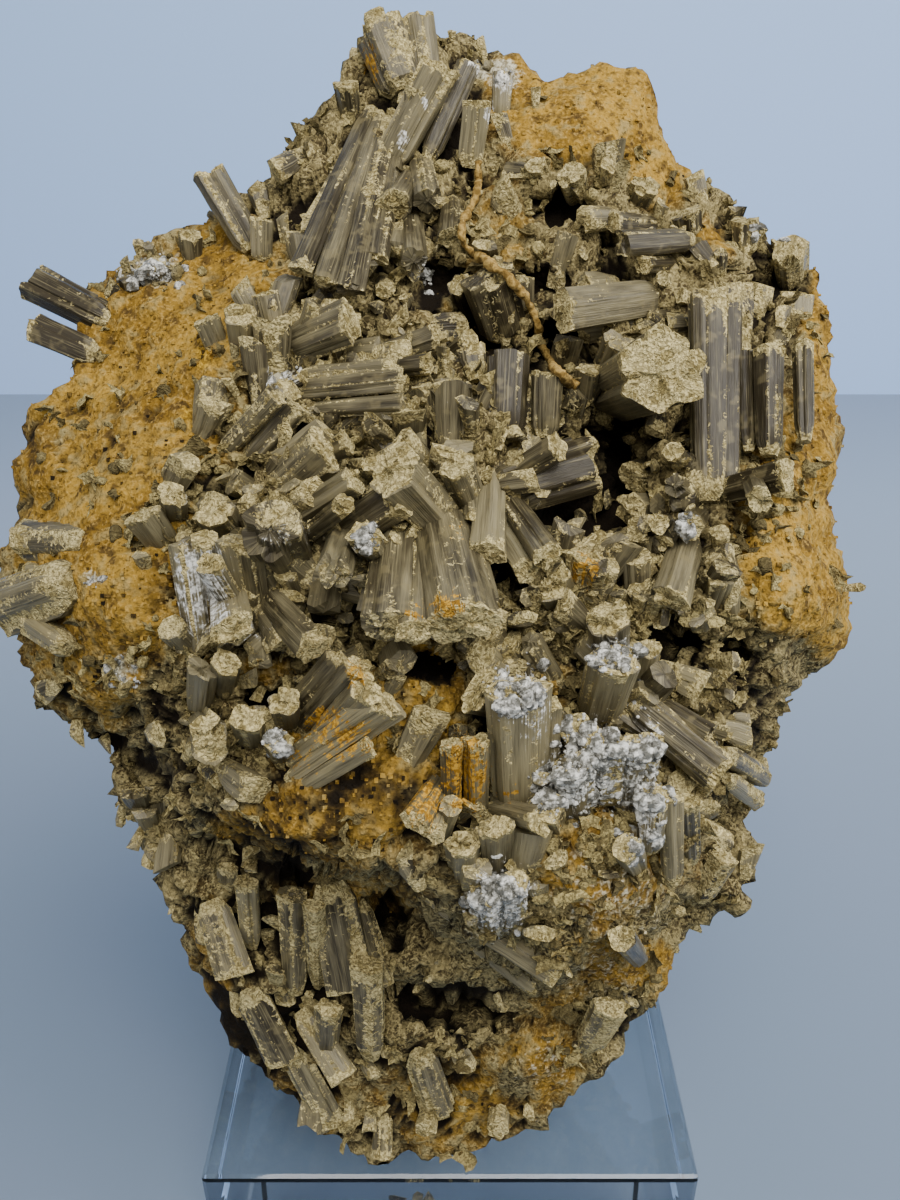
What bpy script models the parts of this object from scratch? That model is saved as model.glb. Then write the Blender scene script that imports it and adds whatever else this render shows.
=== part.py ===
"""Aragonite specimen: smoky six-sided columns grown out of an ochre earthy matrix, standing on a clear
acrylic block.

Everything is laid out on a flat sheet in front of the stone. The sheet is 900 x 1200 steps of an eighth
of a millimetre, x to the right and y down, and leans back 28 degrees. A place on the stone is a place on
the sheet and a height out of it, and the lines along which heights are raised meet at one point 125 mm in
front of the sheet. Lengths are in millimetres until a mesh is made, which is in metres.
"""

import math

import bmesh
import bpy
import numpy as np
from mathutils import Matrix, Vector

# ---- driving dimensions, in millimetres unless they say otherwise ----
MM = 0.001
STEP = 0.125  # one step of the layout sheet
SHEET_MIDDLE = (450, 600)  # the step that lies on the sheet's origin
SHEET_LEAN = math.radians(28)  # how far the sheet leans back from upright
SHEET_ORIGIN = np.array([0.0, -18.7, 108.3])
SHEET_REACH = 125.0  # distance from the sheet to the point where the height lines meet

BLOCK_SIDE = 75.0
BLOCK_HEIGHT = 20.0
BLOCK_BEVEL = 0.8
GAP = 0.3  # kept between pieces that touch
STONE_FOOT = BLOCK_HEIGHT + GAP  # the stone's flat foot

STONE_CELLS = 12  # cells along each edge of the cube that the stone is blown up from
OUTLINE_MIDDLE = (440, 590)  # the step from which the outline is measured
INNER_MIDDLE = np.array([-5.0, -8.0, -26.0])  # inside the stone: across, up and out of the sheet
BACK_HEIGHT = -66.0  # the back's height at the middle of the sheet
BACK_LEAN = 0.29  # how much the back comes forward for each millimetre up
BACK_ROUND = 0.8  # under 1 makes the back squarer than an ellipse
EDGE_POWER, EDGE_ROUND = 6, 0.4  # how sharply the front turns over at the outline

ROOT_BURIED = (1.4, 4.5)  # how far a column's root lies under the surface: lying flat, and standing up
STANDING = 5.0  # a column whose ends are this much nearer than that on the sheet counts as standing up
SEAT_THICK = 1.9  # half the thickness of the grown-together seat under a cluster of columns
SEAT_SUNK = 1.3  # how far the middle of a seat lies under the surface
SEAT_SHARE = 0.8  # how much of the roots' spread a seat covers
SEAT_MARGIN = 1.0  # how far it runs past that
TAPER = 0.88  # a column's root width over its tip width

# The stone's outline on the sheet, clockwise from the top.
OUTLINE = [
    (392, 18), (432, 26), (480, 44), (522, 58), (548, 80), (590, 70), (645, 80), (662, 140), (690, 196),
    (740, 212), (790, 242), (816, 268), (826, 330), (826, 400), (840, 468), (826, 500), (838, 550),
    (850, 603), (842, 645), (800, 672), (782, 705), (765, 755), (770, 790), (752, 830), (762, 862),
    (742, 902), (696, 926), (680, 958), (632, 1032), (590, 1080), (545, 1130), (480, 1148), (440, 1162),
    (402, 1154), (380, 1172), (345, 1152), (294, 1100), (230, 1042), (210, 980), (163, 868), (110, 750),
    (76, 722), (40, 708), (32, 655), (16, 600), (10, 530), (2, 470), (26, 428), (72, 382), (94, 300),
    (145, 254), (205, 226), (260, 188), (282, 148), (314, 104), (350, 52),
]
# The outline's height out of the sheet, by angle from the right, anticlockwise.
RIM_ANGLES = [0, 30, 60, 90, 120, 150, 180, 200, 230, 250, 265, 285, 300, 320, 340, 360]
RIM_HEIGHTS = [-12, -12, -15, -19, -14, -7, -9, -12, -20, -24, -28, -26, -20, -16, -14, -12]

# The front's height from the top of the sheet to its foot, above and below the ledge.
FRONT_ROWS = [10, 100, 200, 300, 450, 600, 850, 930, 1020]
FRONT_HEIGHTS = [-18, -13, -7, 0, 9, 15, 15, 11, 3]
FRONT_FALL = 11.0  # how much lower the front is at its sides
UNDER_ROWS = [650, 900, 1000, 1080, 1165]
UNDER_HEIGHTS = [-8, -9, -13, -20, -28]
UNDER_FALL = 6.0
SIDE_REACH = 400  # steps from the middle to the sides, for both falls
# The ledge that overhangs the stone's foot: its row on the sheet by column, and its width in steps.
LEDGE_COLUMNS = [10, 130, 180, 300, 400, 490, 560, 630, 680, 720, 750, 795, 850]
LEDGE_ROWS = [695, 720, 830, 862, 882, 940, 982, 945, 900, 800, 760, 660, 640]
LEDGE_WIDTH = 56

# Lumps (height over zero) and pits of the front: x, y, half width, half height, height.
LUMPS = [
    (585, 140, 85, 75, 5.0), (800, 545, 50, 110, 6.5), (340, 805, 85, 48, 5.0), (400, 720, 45, 60, 2.0),
    (610, 880, 75, 75, 4.5), (235, 330, 80, 60, 3.5), (110, 590, 60, 70, 4.5), (35, 470, 25, 32, 4.0),
    (150, 470, 60, 50, 3.0), (710, 250, 26, 22, 5.0), (540, 1068, 36, 34, 5.0), (430, 1120, 28, 22, 4.0),
    (420, 1050, 40, 28, 4.0), (330, 920, 40, 30, 4.0), (450, 950, 60, 25, 3.5), (640, 960, 40, 30, 4.0),
    (245, 980, 30, 50, 4.0), (180, 880, 30, 40, 3.0), (725, 880, 26, 28, 4.0), (330, 1060, 40, 40, 4.0),
    (475, 325, 28, 28, -9.0), (570, 340, 32, 22, -9.0), (560, 205, 17, 12, -5.0), (542, 285, 19, 16, -6.0),
    (622, 462, 32, 58, -13.0), (505, 576, 17, 17, -11.0), (355, 630, 16, 24, -9.0), (676, 646, 20, 16, -11.0),
    (257, 695, 16, 13, -8.0), (302, 875, 12, 16, -9.0), (448, 1003, 58, 15, -11.0), (437, 1102, 15, 27, -7.0),
    (775, 284, 30, 15, -7.0), (262, 928, 12, 28, -7.0), (385, 912, 20, 18, -9.0), (148, 760, 14, 20, -6.0),
    (425, 665, 30, 12, -6.0), (735, 655, 12, 10, -4.0), (440, 285, 18, 14, -5.0),
]
# Roughness of the whole surface: size of the bumps, their height in front, how much more behind, a seed.
ROUGHNESS = [(27.0, 0.6, 3.2, 2), (15.0, 1.5, 1.4, 3), (8.0, 1.0, 0.7, 5)]
# Flat breaks across the back and sides: the way each faces, and how far it lies from the inner middle.
BREAKS = [
    ((-0.60, 0.10, -0.79), 41), ((0.66, -0.12, -0.74), 40), ((0.05, -0.62, -0.78), 72), ((0.12, 0.80, -0.58), 66),
    ((0.84, -0.42, -0.34), 46), ((-0.82, -0.46, -0.34), 45), ((-0.45, 0.72, -0.52), 57), ((0.75, 0.55, -0.37), 52),
]
BREAK_FLAT = 0.85  # how nearly flat a break is
BREAK_START = 0.35  # how far round the back, from 0 at the outline to 1, a break reaches its full depth

# Columns that grew together and can be told apart as a cluster, each cluster a piece of its own. Each row
# is one column: x and y of its root, x and y of its tip, its width in steps, how far its tip stands out of
# the surface, and its thickness over its width.
CLUSTERS = {
    "crown_block": [
        (398, 92, 378, 34, 52, 3.0, 0.85), (424, 88, 418, 26, 28, 1.5, 0.9),
        (350, 118, 345, 82, 26, 3.0, 0.9),
    ],
    "top_fan": [
        (388, 165, 442, 62, 42, 7.0, 0.7), (428, 160, 470, 62, 26, 4.0, 0.8),
        (470, 168, 478, 100, 30, 6.0, 0.8), (405, 150, 418, 88, 26, 6.0, 0.8),
        (372, 108, 300, 272, 26, 5.0, 0.6), (380, 112, 322, 284, 24, 6.0, 0.6),
        (388, 118, 350, 292, 28, 5.5, 0.6), (396, 150, 376, 262, 26, 4.0, 0.7),
        (366, 128, 306, 236, 20, 2.5, 0.8),
    ],
    "upper_left_spike": [
        (254, 250, 209, 172, 36, 5.0, 0.8), (262, 262, 262, 218, 24, 3.0, 0.9),
    ],
    "left_edge_pair": [
        (112, 322, 32, 281, 38, 4.0, 0.8), (98, 356, 32, 327, 32, 3.0, 0.8),
    ],
    "slab_sheaf": [
        (292, 346, 354, 320, 50, 6.0, 0.5), (370, 360, 440, 336, 28, 5.0, 0.7),
        (362, 372, 432, 364, 20, 4.0, 0.8),
    ],
    "plank_sheaf": [
        (222, 454, 277, 394, 24, 6.5, 0.6), (248, 462, 300, 404, 26, 4.0, 0.7),
        (268, 474, 330, 430, 30, 4.0, 0.7),
    ],
    "long_blades": [
        (300, 376, 398, 368, 22, 4.5, 0.7), (292, 392, 406, 380, 24, 4.5, 0.6),
        (306, 410, 404, 402, 18, 5.0, 0.7),
    ],
    "box_crystal": [
        (506, 336, 486, 272, 56, 5.5, 0.8), (470, 320, 458, 282, 26, 4.5, 0.9),
    ],
    "ragged_prism": [
        (656, 298, 558, 312, 42, 7.0, 0.8), (640, 324, 580, 336, 20, 5.5, 0.8),
    ],
    "capped_stub": [
        (618, 392, 664, 372, 84, 11.0, 0.9), (606, 372, 622, 340, 34, 6.0, 0.8),
    ],
    "tall_columns": [
        (708, 502, 706, 290, 34, 7.0, 0.9), (728, 498, 730, 286, 30, 6.0, 0.9),
        (748, 452, 747, 350, 18, 4.5, 1), (770, 456, 770, 347, 30, 7.0, 0.9),
    ],
    "hexagon_cap_sheaf": [
        (444, 524, 392, 467, 56, 10.0, 0.85), (472, 510, 454, 464, 34, 7.0, 0.8),
        (494, 474, 489, 556, 36, 6.0, 0.7), (494, 492, 594, 464, 46, 8.0, 0.8),
        (504, 480, 560, 446, 26, 5.5, 0.8), (508, 500, 550, 560, 28, 7.0, 0.8),
        (492, 512, 530, 574, 22, 6.0, 0.8),
    ],
    "finger_sheaf": [
        (282, 524, 356, 478, 24, 8.0, 0.8), (298, 544, 346, 504, 20, 8.0, 0.8),
        (318, 550, 402, 492, 40, 7.0, 0.7), (276, 492, 328, 446, 46, 6.0, 0.7),
        (296, 470, 350, 440, 24, 4.0, 0.8), (288, 562, 268, 528, 60, 9.5, 0.95),
        (348, 526, 334, 574, 31, 10.0, 0.9),
    ],
    "twin_columns": [
        (396, 516, 384, 628, 44, 9.0, 0.8), (438, 512, 462, 628, 62, 10.0, 0.7),
        (416, 528, 412, 636, 28, 9.5, 0.9), (462, 510, 484, 600, 24, 6.0, 0.9),
    ],
    "zebra_block": [
        (200, 654, 182, 540, 26, 6.5, 0.8), (244, 618, 208, 562, 24, 9.0, 0.8),
        (216, 610, 204, 536, 26, 7.0, 0.8), (244, 604, 230, 538, 26, 7.0, 0.8),
        (262, 608, 252, 546, 22, 6.5, 0.8), (228, 594, 234, 634, 44, 8.0, 0.7),
        (268, 596, 315, 646, 34, 7.0, 0.85),
    ],
    "stained_fan": [
        (292, 716, 344, 658, 30, 7.0, 0.7), (302, 730, 360, 668, 30, 8.0, 0.7),
        (316, 742, 370, 690, 26, 8.0, 0.7), (290, 762, 384, 698, 30, 7.0, 0.7),
        (288, 780, 396, 706, 24, 5.5, 0.7), (302, 788, 372, 746, 18, 5.0, 0.8),
    ],
    "drusy_prism": [
        (522, 806, 520, 684, 56, 8.0, 0.8), (546, 790, 548, 700, 24, 5.5, 0.9),
        (506, 700, 478, 688, 52, 7.0, 0.45),
    ],
    "stained_columns": [
        (452, 822, 452, 742, 22, 6.0, 0.9), (476, 818, 476, 738, 24, 6.5, 0.9),
        (444, 776, 412, 824, 24, 6.5, 0.7), (446, 788, 430, 834, 24, 6.5, 0.7),
        (440, 842, 452, 806, 20, 5.0, 0.9),
    ],
    "drusy_mass": [
        (606, 800, 606, 738, 40, 6.5, 0.9), (578, 812, 572, 762, 38, 6.5, 0.9),
        (632, 800, 644, 742, 34, 7.0, 0.8), (650, 850, 654, 790, 26, 6.0, 0.9),
        (636, 866, 626, 846, 26, 4.5, 0.9), (556, 826, 548, 806, 30, 5.5, 0.9),
    ],
    "slanting_prism": [
        (632, 700, 724, 774, 38, 5.0, 0.8), (660, 704, 712, 736, 22, 3.0, 0.8),
    ],
}
# Smaller columns that are one with the stone, in the same rows, place by place.
GROWN_ON = {
    "middle_columns": [
        (505, 440, 508, 352, 40, 4.0, 0.8), (545, 438, 548, 372, 32, 4.0, 0.8),
        (462, 436, 452, 380, 34, 4.0, 0.8), (430, 424, 424, 382, 28, 3.0, 0.8),
        (585, 404, 590, 368, 26, 3.0, 0.9), (600, 566, 590, 520, 30, 3.0, 0.9),
        (582, 600, 588, 556, 36, 4.0, 0.8), (636, 600, 634, 556, 28, 3.0, 0.9),
        (624, 566, 622, 532, 24, 3.0, 0.9), (560, 600, 548, 578, 44, 4.0, 0.9),
        (380, 560, 366, 538, 27, 9.0, 1),
    ],
    "left_druse": [
        (160, 292, 152, 262, 34, 2.5, 0.9), (192, 262, 190, 232, 26, 2.5, 0.9),
    ],
    "collar_columns": [
        (408, 180, 392, 208, 38, 4.0, 0.9), (420, 160, 428, 202, 32, 3.5, 0.9),
        (410, 216, 414, 262, 28, 4.0, 0.9), (452, 200, 450, 240, 26, 3.0, 0.9),
    ],
    "brow_columns": [
        (574, 196, 572, 160, 30, 3.5, 0.9), (602, 196, 606, 160, 28, 3.5, 0.9),
        (540, 190, 538, 158, 26, 3.0, 0.9), (638, 206, 640, 174, 28, 3.0, 0.9),
        (522, 318, 520, 274, 26, 3.0, 0.9), (500, 120, 503, 72, 26, 3.0, 0.9),
    ],
    "striped_prisms": [
        (692, 240, 620, 244, 30, 5.0, 0.8),
    ],
    "rim_caps": [
        (794, 288, 790, 246, 48, 3.5, 0.7), (744, 256, 745, 218, 30, 3.0, 0.9),
        (690, 238, 686, 212, 30, 3.0, 0.8), (796, 322, 796, 292, 40, 2.5, 0.7),
        (805, 442, 803, 342, 22, 3.5, 0.9),
    ],
    "hollow_caps": [
        (652, 470, 634, 478, 36, 6.0, 0.9), (650, 506, 630, 510, 34, 6.0, 0.9),
    ],
    "lying_prism": [
        (722, 492, 790, 474, 30, 5.0, 0.8), (700, 514, 690, 528, 26, 5.0, 0.9),
    ],
    "rounded_prism": [
        (690, 534, 670, 602, 34, 5.0, 0.8), (712, 612, 722, 578, 24, 3.0, 0.9),
    ],
    "left_crusts": [
        (166, 548, 140, 512, 34, 4.0, 0.6), (232, 534, 212, 512, 40, 5.0, 0.6),
        (176, 520, 172, 494, 28, 4.0, 0.8),
    ],
    "crust_cluster": [
        (198, 712, 202, 668, 28, 6.0, 0.7), (222, 696, 226, 662, 30, 6.5, 0.7),
        (204, 728, 210, 740, 46, 6.5, 0.7), (254, 742, 248, 716, 32, 6.5, 0.8),
        (290, 724, 284, 700, 30, 5.5, 0.8), (282, 758, 278, 740, 26, 6.5, 0.9),
    ],
    "lower_prisms": [
        (490, 808, 541, 822, 24, 6.5, 0.9), (497, 880, 496, 824, 30, 6.5, 0.8),
        (466, 886, 462, 842, 30, 4.5, 0.8),
        (492, 926, 488, 888, 34, 5.5, 0.9), (516, 922, 514, 882, 26, 6.0, 0.9),
    ],
    "ledge_bar": [
        (424, 890, 560, 976, 30, 4.0, 0.7),
    ],
    "post_columns": [
        (612, 664, 607, 613, 38, 7.0, 0.9), (596, 716, 614, 656, 46, 7.5, 0.8),
        (640, 690, 648, 646, 24, 4.0, 0.9),
    ],
    "pale_chip": [
        (584, 740, 577, 729, 32, 5.0, 0.8),
    ],
    "right_corner_tips": [
        (724, 752, 762, 776, 28, 2.5, 0.8),
    ],
    "right_foot_columns": [
        (700, 900, 726, 856, 30, 3.0, 0.8),
    ],
    "brown_columns": [
        (296, 992, 292, 892, 30, 4.5, 0.8), (318, 986, 314, 904, 24, 5.0, 0.8),
        (252, 946, 246, 880, 26, 3.5, 0.8),
    ],
    "grey_column": [
        (372, 1056, 368, 964, 40, 5.5, 0.8), (326, 1052, 330, 1004, 30, 4.0, 0.9),
    ],
    "fluted_cap": [
        (586, 1046, 610, 1004, 38, 4.0, 0.8), (640, 960, 622, 938, 24, 3.0, 0.9),
    ],
    "left_outer_columns": [
        (74, 582, 8, 606, 62, -4.0, 0.8), (84, 544, 22, 540, 40, -3.5, 0.8),
        (70, 648, 34, 622, 34, -3.5, 0.9),
    ],
    "foot_columns": [
        (500, 1106, 498, 1130, 26, 3.0, 0.9), (432, 1096, 424, 1130, 24, 3.5, 0.9),
    ],
    "grey_lumps": [
        (222, 356, 206, 316, 26, 3.5, 0.9), (244, 354, 240, 312, 30, 4.5, 0.9),
        (278, 352, 264, 292, 26, 4.0, 0.8), (300, 350, 318, 306, 26, 4.5, 0.8),
        (200, 440, 214, 402, 24, 3.0, 0.9),
    ],
}

# Sprays on the sides, the top and the back: angle round the outline, angle from the front (over 90 is
# behind it), number of columns, their length and width, and a seed.
SPRAYS = {
    "right_flank_spray": (-6, 116, 6, 7.0, 6.0, 11),
    "right_shoulder_spray": (40, 112, 5, 6.0, 5.5, 12),
    "left_flank_spray": (198, 116, 6, 6.0, 6.0, 13),
    "left_shoulder_spray": (134, 114, 5, 6.0, 5.5, 14),
    "top_spray_behind": (88, 122, 5, 5.0, 6.5, 15),
    "back_high_spray": (60, 152, 6, 5.0, 7.5, 16),
    "back_low_spray": (250, 148, 5, 5.0, 7.0, 17),
    "right_heel_spray": (316, 122, 5, 5.5, 5.5, 19),
}
SPRAY_SPREAD = 0.9  # how far a spray's outer columns lean, as a slope
SPRAY_BURIED = 6.0

ACROSS = np.array([1.0, 0.0, 0.0])
UP = np.array([0.0, math.sin(SHEET_LEAN), math.cos(SHEET_LEAN)])
OUT = np.array([0.0, -math.cos(SHEET_LEAN), math.sin(SHEET_LEAN)])


# ---- the layout sheet ----
def sheet_point(x, y, height):
    """A step of the sheet raised by a height, as across, up and out millimetres."""
    draw_in = (SHEET_REACH - height) / SHEET_REACH
    across = (np.asarray(x, float) - SHEET_MIDDLE[0]) * STEP * draw_in
    up = (SHEET_MIDDLE[1] - np.asarray(y, float)) * STEP * draw_in
    return np.stack([across, up, height + 0 * across], axis=-1)


def world(point):
    """Across, up and out of the sheet, as world x, y and z in millimetres."""
    point = np.asarray(point, float)
    return SHEET_ORIGIN + point[..., :1] * ACROSS + point[..., 1:2] * UP + point[..., 2:] * OUT


# ---- relief ----
def lattice(cell, seed):
    """One fixed value from -1 to 1 for each whole-number cell: its three numbers scrambled together."""
    i, j, k = (cell[..., n].astype(np.int64) for n in range(3))
    mixed = (i * 73856093) ^ (j * 19349663) ^ (k * 83492791) ^ (seed * 2654435761)
    mixed = ((mixed & 0xFFFFFFFF) * 1103515245 + 12345) & 0x7FFFFFFF
    mixed = ((mixed >> 7) * 69069 + 1) & 0xFFFFFF
    return mixed / 0x7FFFFF - 1.0


def noise(points, size, seed):
    """Smooth bumps about `size` apart: lattice values blended between the eight corners of each cell."""
    scaled = np.asarray(points, float) / size
    cell = np.floor(scaled)
    part = scaled - cell
    part = part * part * (3 - 2 * part)
    total = 0.0
    for corner in np.ndindex(2, 2, 2):
        weight = np.prod(np.where(corner, part, 1 - part), axis=-1)
        total = total + weight * lattice(cell + np.array(corner), seed)
    return total


def front_height(x, y):
    """The front's height at a step of the sheet: a crowned face, a ledge, the foot under it, lumps, pits."""
    side = ((x - SHEET_MIDDLE[0]) / SIDE_REACH) ** 2
    over = np.interp(y, FRONT_ROWS, FRONT_HEIGHTS) - FRONT_FALL * side
    under = np.interp(y, UNDER_ROWS, UNDER_HEIGHTS) - UNDER_FALL * side
    ledge = np.interp(x, LEDGE_COLUMNS, LEDGE_ROWS)
    share = np.clip((ledge - y) / LEDGE_WIDTH + 0.5, 0, 1)
    share = share * share * (3 - 2 * share)
    height = under + (over - under) * share
    for middle_x, middle_y, half_x, half_y, lump in LUMPS:
        away = ((x - middle_x) / half_x) ** 2 + ((y - middle_y) / half_y) ** 2
        height = height + lump * np.exp(-0.7 * away**1.5)
    return height


def outline_reach(turn):
    """The outline's distance from its middle, in steps, in each direction."""
    steps = np.array(OUTLINE, float) - OUTLINE_MIDDLE
    angles = np.arctan2(-steps[:, 1], steps[:, 0])
    order = np.argsort(angles)
    return np.interp(turn, angles[order], np.hypot(*steps[order].T), period=2 * math.pi)


def stone_surface(directions):
    """The stone's surface in each direction: across, up and out.

    The angle from the front, over a right angle, is how far out the point lies. Up to 1 it lies on the
    front, whose height falls to the rim's at the outline. From 1 to 2 it goes round the back.
    """
    turn = np.arctan2(directions[:, 1], directions[:, 0])
    lean = np.arccos(np.clip(directions[:, 2], -1, 1)) / (math.pi / 2)
    reach = outline_reach(turn)
    rim = np.interp(np.degrees(turn) % 360, RIM_ANGLES, RIM_HEIGHTS)
    share = np.minimum(lean, 1)
    x = OUTLINE_MIDDLE[0] + share * reach * np.cos(turn)
    y = OUTLINE_MIDDLE[1] - share * reach * np.sin(turn)
    edge = (1 - share**EDGE_POWER) ** EDGE_ROUND
    front = sheet_point(x, y, rim + (front_height(x, y) - rim) * edge)
    round_back = np.clip(lean - 1, 0, 1) * math.pi / 2
    in_plane = INNER_MIDDLE[:2] + (front[:, :2] - INNER_MIDDLE[:2]) * np.cos(round_back)[:, None] ** BACK_ROUND
    depth = np.sin(round_back) ** BACK_ROUND
    back = np.column_stack([in_plane, rim + (BACK_HEIGHT + BACK_LEAN * in_plane[:, 1] - rim) * depth])
    flat = BREAK_FLAT * np.clip((lean - 1) / BREAK_START, 0, 1)
    for facing, distance in BREAKS:
        facing = np.array(facing) / np.linalg.norm(facing)
        past = np.maximum((back - INNER_MIDDLE) @ facing - distance, 0)
        back = back - facing * (past * flat)[:, None]
    points = np.where(lean[:, None] <= 1, front, back)
    outward = points - INNER_MIDDLE
    outward /= np.linalg.norm(outward, axis=1, keepdims=True)
    behind = np.clip((lean - 1.1) * 2.5, 0, 1)
    for size, height, more, seed in ROUGHNESS:
        points = points + outward * ((height + more * behind) * noise(points, size, seed))[:, None]
    return points


def direction(turn, lean):
    """A unit direction from an angle round the outline and an angle from the front, in degrees."""
    turn, lean = math.radians(turn), math.radians(lean)
    return np.array([math.cos(turn) * math.sin(lean), math.sin(turn) * math.sin(lean), math.cos(lean)])


# ---- columns ----
def group_columns(rows):
    """Each row's column as root, tip, width and thickness ratio, with both ends in sheet millimetres."""
    columns = []
    for x0, y0, x1, y1, width, rise, flat in rows:
        lying = 1 - math.exp(-((math.hypot(x1 - x0, y1 - y0) * STEP / STANDING) ** 2))
        buried = ROOT_BURIED[1] + (ROOT_BURIED[0] - ROOT_BURIED[1]) * lying
        root = sheet_point(x0, y0, front_height(x0, y0) - buried)
        tip = sheet_point(x1, y1, front_height(x1, y1) + rise)
        columns.append((root, tip, width * STEP, flat))
    return columns


def spray_columns(turn, lean, count, length, width, seed):
    """Columns that fan out of one place on the stone, each a little longer or shorter than the next."""
    random = np.random.default_rng(seed)
    foot = stone_surface(direction(turn, lean)[None])[0]
    out = foot - INNER_MIDDLE
    out /= np.linalg.norm(out)
    side = np.cross(out, direction(turn + 90, 90))
    side /= np.linalg.norm(side)
    other = np.cross(out, side)
    columns = []
    for n in range(count):
        around = random.uniform(0, 2 * math.pi)
        aside = (side * math.cos(around) + other * math.sin(around)) * random.uniform(0.2, 1.3)
        root = foot - SPRAY_BURIED * out + aside * width * 0.8
        tip = foot + (out + aside * SPRAY_SPREAD) * length * random.uniform(0.5, 1.1)
        columns.append((root, tip, width * random.uniform(0.7, 1.1), random.uniform(0.7, 1.0)))
    return columns


def column_matrix(root, tip, width, flat, grow):
    """The transform of a unit column: its axis root to tip, its broad side turned to the sheet."""
    start, end = Vector(world(root)), Vector(world(tip))
    axis = (end - start).normalized()
    broad = axis.cross(Vector(OUT))
    broad = broad.normalized() if broad.length > 0.2 else Vector(ACROSS).cross(axis).cross(axis).normalized()
    thin = axis.cross(broad)
    size = (width / 2 + grow, width * flat / 2 + grow, (end - start).length + 2 * grow)
    turn = Matrix((broad, thin, axis)).transposed().to_4x4()
    return Matrix.Translation((start + end) / 2) @ turn @ Matrix.Diagonal((*size, 1))


def add_column(mesh, column, grow):
    """One six-sided column, a cone primitive with a slight taper towards its root."""
    matrix = Matrix.Scale(MM, 4) @ column_matrix(*column, grow)
    bmesh.ops.create_cone(
        mesh, cap_ends=True, segments=6, radius1=TAPER, radius2=1, depth=1, matrix=matrix
    )


def add_seat(mesh, rows, grow):
    """The low mound that a cluster's roots share: a flattened ball half sunk in the stone."""
    steps = np.array([row[:2] for row in rows], float)
    roots = sheet_point(*steps.T, front_height(*steps.T) - SEAT_SUNK)
    low, high = roots.min(axis=0), roots.max(axis=0)
    half = SEAT_SHARE * (high - low) / 2 + grow
    half += (SEAT_MARGIN, SEAT_MARGIN, SEAT_THICK)
    turn = Matrix((ACROSS, UP, OUT)).transposed().to_4x4()
    place = Matrix.Translation(Vector(world((low + high) / 2))) @ turn @ Matrix.Diagonal((*half, 1))
    bmesh.ops.create_icosphere(mesh, subdivisions=1, radius=1, matrix=Matrix.Scale(MM, 4) @ place)


# ---- objects ----
def new_object(name, collection, build, material=None):
    """An object whose mesh the function `build` makes in a bmesh."""
    mesh = bmesh.new()
    build(mesh)
    data = bpy.data.meshes.new(name)
    mesh.to_mesh(data)
    mesh.free()
    made = bpy.data.objects.new(name, data)
    collection.objects.link(made)
    if material:
        data.materials.append(material)
    return made


def new_cutter(name, collection, build):
    """A helper for a Boolean, which isn't part of the object."""
    cutter = new_object(name, collection, build)
    cutter.hide_render = True
    cutter.display_type = "WIRE"
    return cutter


def add_boolean(target, operation, operand, name):
    """A Boolean modifier on one object or on every object of a collection."""
    modifier = target.modifiers.new(name, "BOOLEAN")
    modifier.operation = operation
    modifier.solver = "EXACT"
    if isinstance(operand, bpy.types.Collection):
        modifier.operand_type = "COLLECTION"
        modifier.collection = operand
    else:
        modifier.object = operand


def settle(made):
    """Applies an object's modifiers and keeps the largest body that they leave."""
    bpy.context.view_layer.update()
    graph = bpy.context.evaluated_depsgraph_get()
    data = bpy.data.meshes.new_from_object(made.evaluated_get(graph))
    made.modifiers.clear()
    made.data = data
    mesh = bmesh.new()
    mesh.from_mesh(data)
    bmesh.ops.triangulate(mesh, faces=mesh.faces)
    left, bodies = set(mesh.faces), []
    while left:
        body, edge = set(), [left.pop()]
        while edge:
            face = edge.pop()
            body.add(face)
            near = {other for side in face.edges for other in side.link_faces} & left
            left -= near
            edge.extend(near)
        bodies.append(body)
    bodies.sort(key=lambda body: sum(face.calc_area() for face in body))
    dropped = [list(bodies[n])[0].calc_center_median() / MM for n in range(len(bodies) - 1)]
    for body in bodies[:-1]:
        bmesh.ops.delete(mesh, geom=list(body), context="FACES")
    mesh.to_mesh(data)
    mesh.free()
    return dropped


def new_collection(name, parent):
    made = bpy.data.collections.new(name)
    parent.children.link(made)
    return made


def new_material(name, colour, roughness, transmission=0.0, ior=1.5):
    made = bpy.data.materials.new(name)
    made.use_nodes = True
    shader = made.node_tree.nodes["Principled BSDF"]
    shader.inputs["Base Color"].default_value = (*colour, 1)
    shader.inputs["Roughness"].default_value = roughness
    shader.inputs["Metallic"].default_value = 0.0
    shader.inputs["Transmission Weight"].default_value = transmission
    shader.inputs["IOR"].default_value = ior
    return made


# ---- pieces ----
def make_block(parts):
    """The clear block that the stone stands on, its underside on the ground."""
    acrylic = new_material("clear_acrylic", (0.93, 0.96, 0.98), 0.03, 1.0, 1.49)
    size = Matrix.Diagonal((BLOCK_SIDE * MM, BLOCK_SIDE * MM, BLOCK_HEIGHT * MM, 1))
    place = Matrix.Translation((0, 0, BLOCK_HEIGHT * MM / 2)) @ size
    block = new_object("acrylic_block", parts, lambda mesh: bmesh.ops.create_cube(mesh, matrix=place), acrylic)
    bevel = block.modifiers.new("eased_edges", "BEVEL")
    bevel.width = BLOCK_BEVEL * MM
    bevel.segments = 2
    return block


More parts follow.
